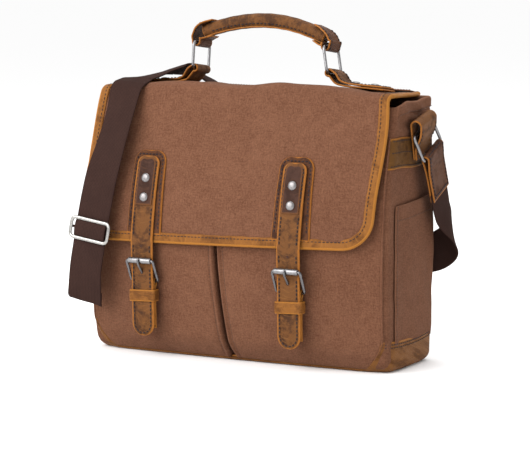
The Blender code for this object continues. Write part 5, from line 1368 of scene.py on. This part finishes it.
for side, sign in (("left", -1), ("right", 1)):
    t = 0.0022
    bx, bn_ = RING_BARS[side][0]
    bx = abs(bx)
    foot = 0.0008 + t / 2
    line = [(x, top_at(sign * x) + foot) for x in (0.1570, 0.1450, 0.1330, 0.1210, 0.1120)]
    line.append((bx + 0.0160, top_at(sign * (bx + 0.016)) + foot + 0.0008))
    line.append((bx + 0.0085, top_at(sign * (bx + 0.0085)) + foot + 0.0030))
    r_mid = RING_WIRE + 0.0012 + t / 2
    for k in range(10):
        ang = math.radians(-75 - 215 * k / 9)
        line.append((bx + r_mid * math.cos(ang), bn_ + r_mid * math.sin(ang)))
    line.append((bx + 0.0090, bn_ - 0.0010))
    second = foot + t + 0.0006
    line.append((bx + 0.0150, top_at(sign * (bx + 0.015)) + second + 0.0032))
    line += [(x, top_at(sign * x) + second + extra) for x, extra in
             ((0.1120, 0.0004), (0.1210, 0), (0.1330, 0), (0.1450, 0), (0.1555, 0))]
    path = through([tuple(on_top(sign * x, HANDLE_V, n)) for x, n in line], 170)
    strap(side + "_handle_base_leather", path, axis_v, HANDLE_W / 2, t, (OLIVE, EDGE, OLIVE), "flap_top", slot="leather",
          replaces=(side + "_handle_base",), n=9)
    flat = path[118:]
    q, tg, wd, nm = frames(flat, axis_v)
    if (nm @ np.array(tuple(up_n))).sum() < 0:
        nm = -nm
    for off in (-1, 1):
        stitch("handle_bases", "flap_top", q + wd * off * (HANDLE_W / 2 - 0.0032) + nm * (t / 2 + 0.0001), nm, pitch=0.0046,
               length=0.0034, radius=0.00064)
    ends = np.array([q[-3] + wd[-3] * s_ + nm[-3] * (t / 2 + 0.0001) for s_ in np.linspace(-0.0125, 0.0125, 12)])
    stitch("handle_bases", "flap_top", ends, nm[-3], pitch=0.0046, length=0.0034, radius=0.00064)
    for place, x in (("inner", 0.1150), ("outer", 0.1390)):
        slope = (top_at(sign * (x + 0.004)) - top_at(sign * (x - 0.004))) / 0.008
        lean = Vector(up_n) - Vector((sign, 0, 0)) * slope
        at = on_top(sign * x, HANDLE_V, top_at(sign * x) + second + t / 2 + 0.0004 + (0.0006 if place == "inner" else 0))
        turned_piece(f"{side}_{place}_rivet_head", at, lean,
                     ((0, 0), (0.0050, 0), (0.0051, 0.0005), (0.0047, 0.0010), (0.0038, 0.0015), (0.0022, 0.0019), (0, 0.0020)),
                     RIVET, "flap_top", slot="nickel", replaces=(f"{side}_{place}_base_rivet",))
    low_bar, high_bar = bars[side]
    middle = (low_bar + high_bar) / 2
    up = (high_bar - low_bar).normalized()
    hh = (high_bar - low_bar).length / 2
    loop = [tuple(middle + axis_v * u + up * b) for u, b in rounded_rectangle(HANDLE_W / 2 + 0.0012 + RING_WIRE, hh, 0.0050, 9)]
    loop = even(np.array(loop + [loop[0]]), 0.0012)[:-1]
    wire(side + "_ring_wire", loop, RING_WIRE, STEEL, side + "_handle_ring", cyclic=True, sides=18, slot="gunmetal",
         replaces=(side + "_handle_ring",))

GRIP_ENDS = ((-0.0860, 0.0625), (0.0735, 0.0575))
CROWN = (-0.0080, 0.0765)
pts = []
for u in np.linspace(-1, 1, 90):
    end = GRIP_ENDS[0] if u < 0 else GRIP_ENDS[1]
    pts.append(tuple(on_top(CROWN[0] + (end[0] - CROWN[0]) * abs(u), HANDLE_V, CROWN[1] - (CROWN[1] - end[1]) * abs(u) ** 2.0)))
pts = np.array(pts)
rad = 0.0078 + 0.0008 * np.cos(np.linspace(-1, 1, 90) * math.pi / 2) ** 0.7 + 0.00012 * np.sin(np.linspace(0, 60, 90))
wire("rolled_grip", pts, rad, OLIVE, "handle", sides=36, squeeze=1.0, flat_axis=tuple(axis_v), round_ends=False,
     slot="leather", replaces=("handle_grip",))
tg = np.gradient(pts, axis=0)
tg /= np.linalg.norm(tg, axis=1)[:, None]
av = np.array(tuple(axis_v))
un = np.cross(tg, av)
un = np.where((un @ np.array(tuple(up_n)))[:, None] < 0, -un, un)
for ang, key in ((-118, "a"),):
    d = -av * math.sin(math.radians(-ang)) + un * math.cos(math.radians(ang))
    d /= np.linalg.norm(d, axis=1)[:, None]
    stitch("grip", "handle", pts[5:-5] + d[5:-5] * (rad[5:-5, None] + 0.0001), d[5:-5], pitch=0.0050, length=0.0036, radius=0.00070)
d2 = -av * math.sin(math.radians(150)) + un * math.cos(math.radians(150))
d2 /= np.linalg.norm(d2, axis=1)[:, None]
wire("grip_seam_edge", pts[1:-1] + d2[1:-1] * (rad[1:-1, None] - 0.0002), 0.0011, EDGE, "handle", sides=10, slot="leather")
for which, i, way in (("left", 0, -1), ("right", -1, 1)):
    r = rad[i]
    turned_piece(which + "_grip_end", pts[i] - tg[i] * way * 0.0006, tg[i] * way,
                 ((0, 0), (r - 0.0001, 0), (r + 0.0003, 0.0006), (r - 0.0006, 0.0013), (0.0042, 0.0012), (0.0038, 0.0004), (0, 0.0002)),
                 EDGE, "handle", slot="leather")
    turned_piece(which + "_grip_core", pts[i] + tg[i] * way * 0.0004, tg[i] * way, ((0, -0.0002), (0.0036, -0.0002), (0.0034, 0.0002), (0, 0.0003)),
                 DARK_LEATHER_AND_HOLE_SHADE, "handle", slot="leather")
for side, sign, end in (("left", -1, GRIP_ENDS[0]), ("right", 1, GRIP_ENDS[1])):
    t = 0.0020
    bx, bn_ = RING_BARS[side][1]
    bx = abs(bx)
    ex, en = abs(end[0]), end[1]
    r_mid = RING_WIRE + 0.0022 + t / 2
    def grip_n(x):
        return CROWN[1] - (CROWN[1] - en) * ((x * sign - CROWN[0]) / (end[0] - CROWN[0])) ** 2

    line = [(ex - 0.0120, grip_n(ex - 0.0120) + 0.0098), (ex - 0.0020, grip_n(ex - 0.0020) + 0.0094), (ex + 0.0062, en + 0.0040),
            (max(ex + 0.0095, bx + 0.0040), en - 0.0030), (bx + r_mid + 0.0012, bn_ + 0.0055)]
    for k in range(9):
        ang = math.radians(5 - 190 * k / 8)
        line.append((bx + r_mid * math.cos(ang), bn_ + r_mid * math.sin(ang)))
    line += [(bx - r_mid + 0.0002, bn_ + 0.0040), (ex - 0.0010, grip_n(ex - 0.0010) - 0.0095), (ex - 0.0130, grip_n(ex - 0.0130) - 0.0093)]
    path = through([tuple(on_top(sign * x, HANDLE_V, n)) for x, n in line], 130)
    s = np.concatenate([[0], np.cumsum(np.linalg.norm(np.diff(path, axis=0), axis=1))])
    s /= s[-1]
    half = (HANDLE_W / 2 - 0.001) * (0.60 + 0.40 * np.minimum(ease01(s / 0.22), ease01((1 - s) / 0.22)))
    strap(side + "_grip_loop", path, axis_v, half, t, (BROWN, EDGE, BROWN), "handle", slot="binding",
          replaces=(side + "_handle_loop",), n=9, crown=0.0002)
    q, tg_, wd, nm = frames(path, axis_v)
    for off in (-1, 1):
        for lift in (-1,):
            offs = off * (half - 0.0028)
            stitch("grip", "handle", (q + wd * offs[:, None] + nm * lift * (t / 2 + 0.0001))[8:60], nm[8:60] * lift, pitch=0.0046,
                   length=0.0034, radius=0.00060)
            stitch("grip", "handle", (q + wd * offs[:, None] - nm * lift * (t / 2 + 0.0002))[8:60], -nm[8:60] * lift, pitch=0.0046,
                   length=0.0034, radius=0.00060)

# ---------------------------------------------------------------- side rings and strap ends
SIDE_BAR = (0.2025, 0.0060, 0.2715)
SIDE_RING_H, SIDE_RING_W, SIDE_WIRE, CHAPE_W = 0.0310, 0.0475, 0.0018, 0.0430
TAB_L, TAB_W, WEB_W, WEB_T = 0.0540, 0.0440, 0.0440, 0.0018
SIDE_TILT = {"left": math.radians(-24), "right": math.radians(24)}
CHAPE_TILT = {"left": math.radians(-14), "right": math.radians(14)}
RING_LEAN = math.radians(13)


def turned(point, about, angle):
    p = Vector(point) - Vector(about)
    c, s_ = math.cos(angle), math.sin(angle)
    return Vector((p.x, p.y * c - p.z * s_, p.y * s_ + p.z * c)) + Vector(about)


tab_end = {}
for side, sign in (("left", -1), ("right", 1)):
    bar = Vector((sign * SIDE_BAR[0], SIDE_BAR[1], SIDE_BAR[2]))
    tilt = SIDE_TILT[side]
    t = 0.0020
    x_in = HALF_W + 0.0020 + 2 * GAP + t / 2 + 0.0014
    line = [(x_in, 0.2400), (x_in, 0.2600), (x_in, 0.2760)]
    for k in range(9):
        ang = math.radians(180 - 180 * k / 8)
        line.append((x_in + 0.0060 + 0.0062 * math.cos(ang), 0.2785 + 0.0065 * math.sin(ang)))
    line += [(x_in + 0.0108, 0.2690), (x_in + 0.0080, 0.2620), (x_in + 0.0045, 0.2560), (x_in + 0.0028, 0.2500),
             (x_in + 0.0024, 0.2395)]
    path = through([tuple(turned((sign * x, SIDE_BAR[1], z), bar, CHAPE_TILT[side])) for x, z in line], 120)
    across = Vector((0, math.cos(CHAPE_TILT[side]), math.sin(CHAPE_TILT[side])))
    strap(side + "_chape_leather", path, across, CHAPE_W / 2, t, (OLIVE, EDGE, OLIVE), "bag", slot="binding",
          replaces=(side + "_ring_chape",), n=9)
    q, tg_, wd, nm = frames(path[84:], across)
    if (nm @ np.array([sign, 0, 0])).sum() < 0:
        nm = -nm
    for off in (-1, 1):
        stitch("strap_ends_bag", "bag", q + wd * off * (CHAPE_W / 2 - 0.0032) + nm * (t / 2 + 0.0001), nm, pitch=0.0046,
               length=0.0034, radius=0.00064)
    across = Vector((0, math.cos(tilt), math.sin(tilt)))
    down = Vector((sign * math.sin(RING_LEAN), 0, -math.cos(RING_LEAN)))
    down = Vector((down.x, -down.z * math.sin(tilt), down.z * math.cos(tilt)))
    centre_r = bar + down * SIDE_RING_H / 2
    loop = [tuple(centre_r + across * u + down * b)
            for u, b in rounded_rectangle(SIDE_RING_W / 2 + SIDE_WIRE, SIDE_RING_H / 2, 0.0042, 9)]
    loop = even(np.array(loop + [loop[0]]), 0.0013)[:-1]
    wire(side + "_side_ring_wire", loop, 0.0018, STEEL, side + "_strap_end", cyclic=True, sides=18, slot="gunmetal",
         replaces=(side + "_side_ring",))
    low_bar = bar + down * SIDE_RING_H
    hang = Vector((0, math.sin(tilt), -math.cos(tilt)))
    out = Vector((sign, 0, 0))
    r_mid = SIDE_WIRE + 0.0010 + t / 2
    line = [(0.0018, TAB_L), (0.0018, 0.020), (0.0028, 0.009)]
    for k in range(8):
        ang = math.radians(-10 + 200 * k / 7)
        line.append((r_mid * math.cos(ang), -r_mid * math.sin(ang)))
    line += [(-0.0028, 0.009), (-0.0018, 0.020), (-0.0018, TAB_L)]
    path = through([tuple(low_bar + out * u + hang * b) for u, b in line], 130)
    strap(side + "_tab_leather", path, across, TAB_W / 2, t, (BROWN, EDGE, BROWN), side + "_strap_end", slot="leather",
          replaces=(side + "_strap_tab",), n=11, wobble=0.00012)
    q, tg_, wd, nm = frames(path[:52], across)
    if (nm @ np.array([sign, 0, 0])).sum() < 0:
        nm = -nm
    for off in (-1, 1):
        stitch("tab_" + side, side + "_strap_end", q + wd * off * (TAB_W / 2 - 0.0036) + nm * (t / 2 + 0.0002), nm, pitch=0.0046,
               length=0.0034, radius=0.00070)
    for row_at in (2, 50):
        ends = np.array([q[row_at] + wd[row_at] * s_ + nm[row_at] * (t / 2 + 0.0002) for s_ in np.linspace(-0.0185, 0.0185, 16)])
        stitch("tab_" + side, side + "_strap_end", ends, nm[row_at], pitch=0.0046, length=0.0034, radius=0.00070)
    tab_end[side] = (low_bar + hang * TAB_L, hang, across)


# ---------------------------------------------------------------- shoulder webbing
def web(name, centre, facing, body, wide_half=WEB_W / 2, thick=WEB_T, replaces=(), hump=None, skew=None):
    tangent = np.gradient(centre, axis=0)
    tangent /= np.linalg.norm(tangent, axis=1)[:, None]
    wide = np.cross(facing, tangent)
    wide /= np.linalg.norm(wide, axis=1)[:, None]
    normal_ = np.cross(tangent, wide)
    s = np.concatenate([[-1, -0.97], np.linspace(-0.90, 0.90, 19), [0.97, 1]]) * wide_half
    bead = 0.0003 * np.exp(-((np.abs(s) - wide_half + 0.0014) / 0.0008) ** 2)
    roll = np.where(np.abs(s) >= wide_half * 0.999, 0.0005, 0.0)
    cup_ = 0.0010 * (s / wide_half) ** 2
    if skew is not None:
        centre = centre[:, None] + skew[:, None] * s[None, :, None]
    else:
        centre = np.repeat(centre[:, None], len(s), 1)
    lift_ = hump if hump is not None else np.zeros(len(centre))
    base = centre + wide[:, None] * s[None, :, None]
    O = base + normal_[:, None] * (thick / 2 + bead - roll - cup_ + lift_[:, None])[..., None]
    I = base + normal_[:, None] * (-thick / 2 - bead + roll - cup_ + lift_[:, None])[..., None]
    return slab(name, O, I, (WEB, WEB, WEB), body, slot="webbing", replaces=replaces, reach=0.002)


def run_of(stations, count):
    return np.concatenate([through([tuple(s_[0]) for s_ in stations], count), through([tuple(s_[1]) for s_ in stations], count)], 1)


place, hang, across = tab_end["right"]
start = place - hang * 0.0200
back_run = run_of([
    (start, (1, 0, 0)), (place + hang * 0.0030, (1, 0, 0)), (place + hang * 0.023, (1, 0.05, 0)),
    ((0.2130, 0.0680, 0.1500), (0.85, 0.5, 0)), ((0.2000, 0.0770, 0.1290), (0.25, 1, 0)),
    ((0.1700, 0.0720, 0.1180), (0, 1, 0)), ((0.0900, 0.0690, 0.1200), (0, 1, 0)), ((0.0000, 0.0680, 0.1600), (0, 1, 0)),
    ((-0.0600, 0.0665, 0.2200), (0, 1, 0)), ((-0.0880, 0.0650, 0.2700), (0, 1, 0)), ((-0.0930, 0.0645, 0.2940), (0, 1, 0.05)),
], 200)
top_run = run_of([
    (on_top(-0.0930, -0.0020, 0.0036), (0, 0.12, 1)), (on_top(-0.1190, -0.0070, 0.0185), (-0.28, 0.12, 1)),
    (on_top(-0.1350, -0.0230, 0.0212), (-0.34, 0.12, 1)), (on_top(-0.1330, -0.0430, 0.0155), (-0.25, 0.12, 1)),
    (on_top(-0.1375, -0.0600, 0.0110), (-0.15, 0.12, 1)), (on_top(-0.1425, -0.0780, 0.0055), (-0.05, 0.12, 1)),
    (on_top(-0.1460, -0.0925, 0.0030), (0, 0.0, 1)),
], 90)
RUN_A, RUN_B = Vector((-0.1655, -0.0935, 0.1950)), Vector((-0.1780, -0.1020, 0.1080))
run_dir = (RUN_B - RUN_A).normalized()
facing = (-0.05, -1, -0.10)
front_run = run_of([
    (Vector((-0.1475, BEND_Y - 0.0085, BEND_Z + BEND_R - 0.0020)), (0, -0.55, 0.85)),
    (Vector((-0.1490, BEND_Y - BEND_R - 0.0045, BEND_Z + 0.0020)), (-0.1, -1, 0.3)),
    (Vector((-0.1515, -0.0680, 0.2800)), (-0.22, -1, 0.0)), (Vector((-0.1560, -0.0810, 0.2450)), (-0.22, -1, -0.1)),
    (RUN_A, facing), (RUN_A.lerp(RUN_B, 0.5), facing), (RUN_B, facing),
    (Vector((-0.1800, -0.1012, 0.0850)), (0.10, -1, 0.0)), (Vector((-0.1825, -0.0985, 0.0650)), (0.20, -1, -0.1)),
    (Vector((-0.1832, -0.0958, 0.0605)), (0.2, -0.35, -0.9)), (Vector((-0.1836, -0.0925, 0.0625)), (0.0, 0.8, -0.5)),
    (Vector((-0.1845, -0.0905, 0.0760)), (-0.1, 1, 0.0)),
], 170)
SLANT_WAY = 1.0
whole = np.concatenate([back_run, top_run, front_run])
whole = even(whole, count=520)
kernel = np.ones(7) / 7
whole = np.stack([np.convolve(np.concatenate([np.repeat(whole[:1, k], 3), whole[:, k], np.repeat(whole[-1:, k], 3)]), kernel, "valid")
                  for k in range(6)], 1)
line, face_n = whole[:, :3], whole[:, 3:]
# tangents run along the webbing, so its face turns with it
i_rear = int(np.argmax((line[:, 2] > 0.2800) & (line[:, 1] > 0.05)))
i_top = int(np.argmax((np.arange(520) > i_rear) & (line[:, 1] < 0.040)))
web("webbing_back", line[:i_rear + 1], face_n[:i_rear + 1], "bag", replaces=("webbing_back_run",))
web("webbing_rear_bend", line[i_rear:i_top + 1], face_n[i_rear:i_top + 1], ("bag", "flap_top", (0, 0.0665, 0.2900), (0, 0.0560, 0.3125)))
lowest = i_top + int(np.argmin(line[i_top:, 2]))
gone = np.concatenate([[0], np.cumsum(np.linalg.norm(np.diff(line[i_top:], axis=0), axis=1))])
ahead = gone - gone[lowest - i_top]
slant = 0.34 * ease01((ahead + 0.085) / 0.075)[:, None] * np.array(tuple(run_dir)) * SLANT_WAY
web("webbing_over_flap", line[i_top:], face_n[i_top:], ("flap_top", "flap_front", *FOLD), skew=slant, replaces=("webbing_top_run", "webbing_front_run"))

place, hang, across = tab_end["left"]
FOLD_AT = Vector((-0.1945, -0.0840, 0.0600))
start = place + hang * 0.0040
run = FOLD_AT - start
left_run = run_of([
    (place - hang * 0.020, (-1, 0, 0)), (start, (-1, 0, 0)), (start + run * 0.33 + Vector((-0.004, 0, 0)), (-1, 0, 0)),
    (start + run * 0.66 + Vector((-0.004, 0, 0)), (-1, -0.15, 0)), (start + run * 0.93 + Vector((-0.001, 0.004, 0)), (-1, -0.6, 0)),
], 110)
web("webbing_left", left_run[:, :3], left_run[:, 3:], "bag", replaces=("webbing_left_run",))

# slider
mid = RUN_A.lerp(RUN_B, 0.575)
face = (Vector(facing) - run_dir * Vector(facing).dot(run_dir)).normalized()
wide = run_dir.cross(face).normalized()
plate = mid + face * (WEB_T / 2 + 0.0022)


def slider_point(a, b, c):
    return tuple(plate + wide * a + run_dir * b + face * c)


loop = [slider_point(a, b, 0.0003) for a, b in rounded_rectangle(0.0262, 0.0116, 0.0052, 9)]
loop = even(np.array(loop + [loop[0]]), 0.0013)[:-1]
wire("slider_frame", loop, 0.0021, NICKEL, "strap_slider", cyclic=True, sides=18, squeeze=0.72, flat_axis=tuple(face),
     slot="nickel", replaces=("strap_slider",))
bar_pts = [slider_point(a, 0.0, c) for a, c in ((-0.0262, 0.0), (-0.0262, -0.0030), (-0.0240, -0.0058), (0.0240, -0.0058),
                                                (0.0262, -0.0030), (0.0262, 0.0))]
wire("slider_bar", even(bar_pts, 0.0015), 0.0016, NICKEL, "strap_slider", sides=14, slot="nickel")
b = np.linspace(-0.0112, 0.0112, 34)
centre_w = np.array([slider_point(0, bb, -0.0016 + 0.0026 * math.cos(bb / 0.0112 * math.pi / 2) ** 0.8) for bb in b])
web("slider_weave", centre_w, np.broadcast_to(np.array(tuple(face)), centre_w.shape), "strap_slider", wide_half=WEB_W / 2 - 0.0006)

# ---------------------------------------------------------------- padded insert
INSERT_TOP, FOAM_T, INSERT_Y = 0.258, 0.0070, (-0.0370, 0.0440)


def box_loop(hx, y0, y1, z, r, steps=9, side_n=22, front_n=60):
    pts = rounded_rectangle(hx, (y1 - y0) / 2, r, steps)
    pts = np.array(pts + [pts[0]])
    pts = even(pts, count=241)[:-1]
    return np.stack([pts[:, 0], (y0 + y1) / 2 + pts[:, 1], np.full(len(pts), z)], 1)


def quilt(P, amount, sign):
    """Soft foam swelling between sewn lines."""
    middle = P.mean(axis=(0, 1))
    N = normals(P, (P - middle) * np.array([1, 1, 0]), True)
    pad = np.abs(np.sin(P[..., 0] * math.pi / 0.062 + 0.4)) ** 0.5 * np.abs(np.sin((P[..., 2] - 0.010) * math.pi / 0.0625)) ** 0.5
    return P + N * (pad * amount * sign)[..., None]


zs = np.concatenate([[0.0045], np.linspace(0.008, INSERT_TOP - 0.006, 76), INSERT_TOP - 0.006 + 0.006 * np.sin(np.linspace(0.2, math.pi / 2, 6))])
O, I = [], []
for z in zs:
    shut = 0.0020 * max(0.0, (z - INSERT_TOP + 0.006) / 0.006) ** 2
    floor_in = 0.020 * max(0.0, 1 - z / 0.03) ** 2
    O.append(box_loop(0.1862 - floor_in - shut, INSERT_Y[0] + 0.0008 + shut, INSERT_Y[1] - 0.0008 - shut, z, 0.012))
    I.append(box_loop(0.1862 - FOAM_T + 0.001 - floor_in + shut, INSERT_Y[0] + FOAM_T - shut, INSERT_Y[1] - FOAM_T + shut, z, 0.007))
O, I = np.array(O), np.array(I)
insert = slab("padded_walls", O, quilt(I, 0.0016, -1), (LINING, LINING, LINING), "bag", wrap=True, rim=0.35, slot="padding",
              replaces=("padded_insert",))
gx, gy = np.meshgrid(np.linspace(-0.166, 0.166, 70), np.linspace(-0.0285, 0.0355, 22))
swellz = 0.0105 + 0.0018 * np.abs(np.sin(gx * math.pi / 0.062 + 0.4)) ** 0.5 * np.sin((gy + 0.0285) / 0.064 * math.pi) ** 0.5
P = np.stack([gx, gy, swellz], -1)
hint = np.zeros_like(P)
hint[..., 2] = 1
pad_floor = sheet("padded_floor", P, 0.0062, (LINING, LINING, LINING), "bag", hint, soften=0.0012, slot="padding")
gy, gz = np.meshgrid(np.linspace(INSERT_Y[0] + FOAM_T + 0.0007, INSERT_Y[1] - FOAM_T - 0.0007, 30), np.linspace(0.0132, 0.2350, 80))
bulge = 0.0030 + 0.0008 * np.sin((gy - gy.min()) / (gy.max() - gy.min()) * math.pi) ** 0.5 * np.abs(np.sin((gz - 0.013) * math.pi / 0.055)) ** 0.5
edge_in = 0.0014 * np.clip(1 - np.minimum(np.minimum(gy - gy.min(), gy.max() - gy), gz.max() - gz) / 0.003, 0, 1) ** 2
O = np.stack([0.036 + bulge - edge_in, gy, gz], -1)
I = np.stack([0.036 - bulge + edge_in, gy, gz], -1)
divider = slab("padded_divider", O, I, (LINING, LINING, LINING), "bag", rim=0.4, slot="padding", replaces=("divider",))

sew_all()
for name, node in frame["nodes"].items():
    if not node.hide_render:
        node.data.materials.clear()
        node.data.materials.append(OLIVE)
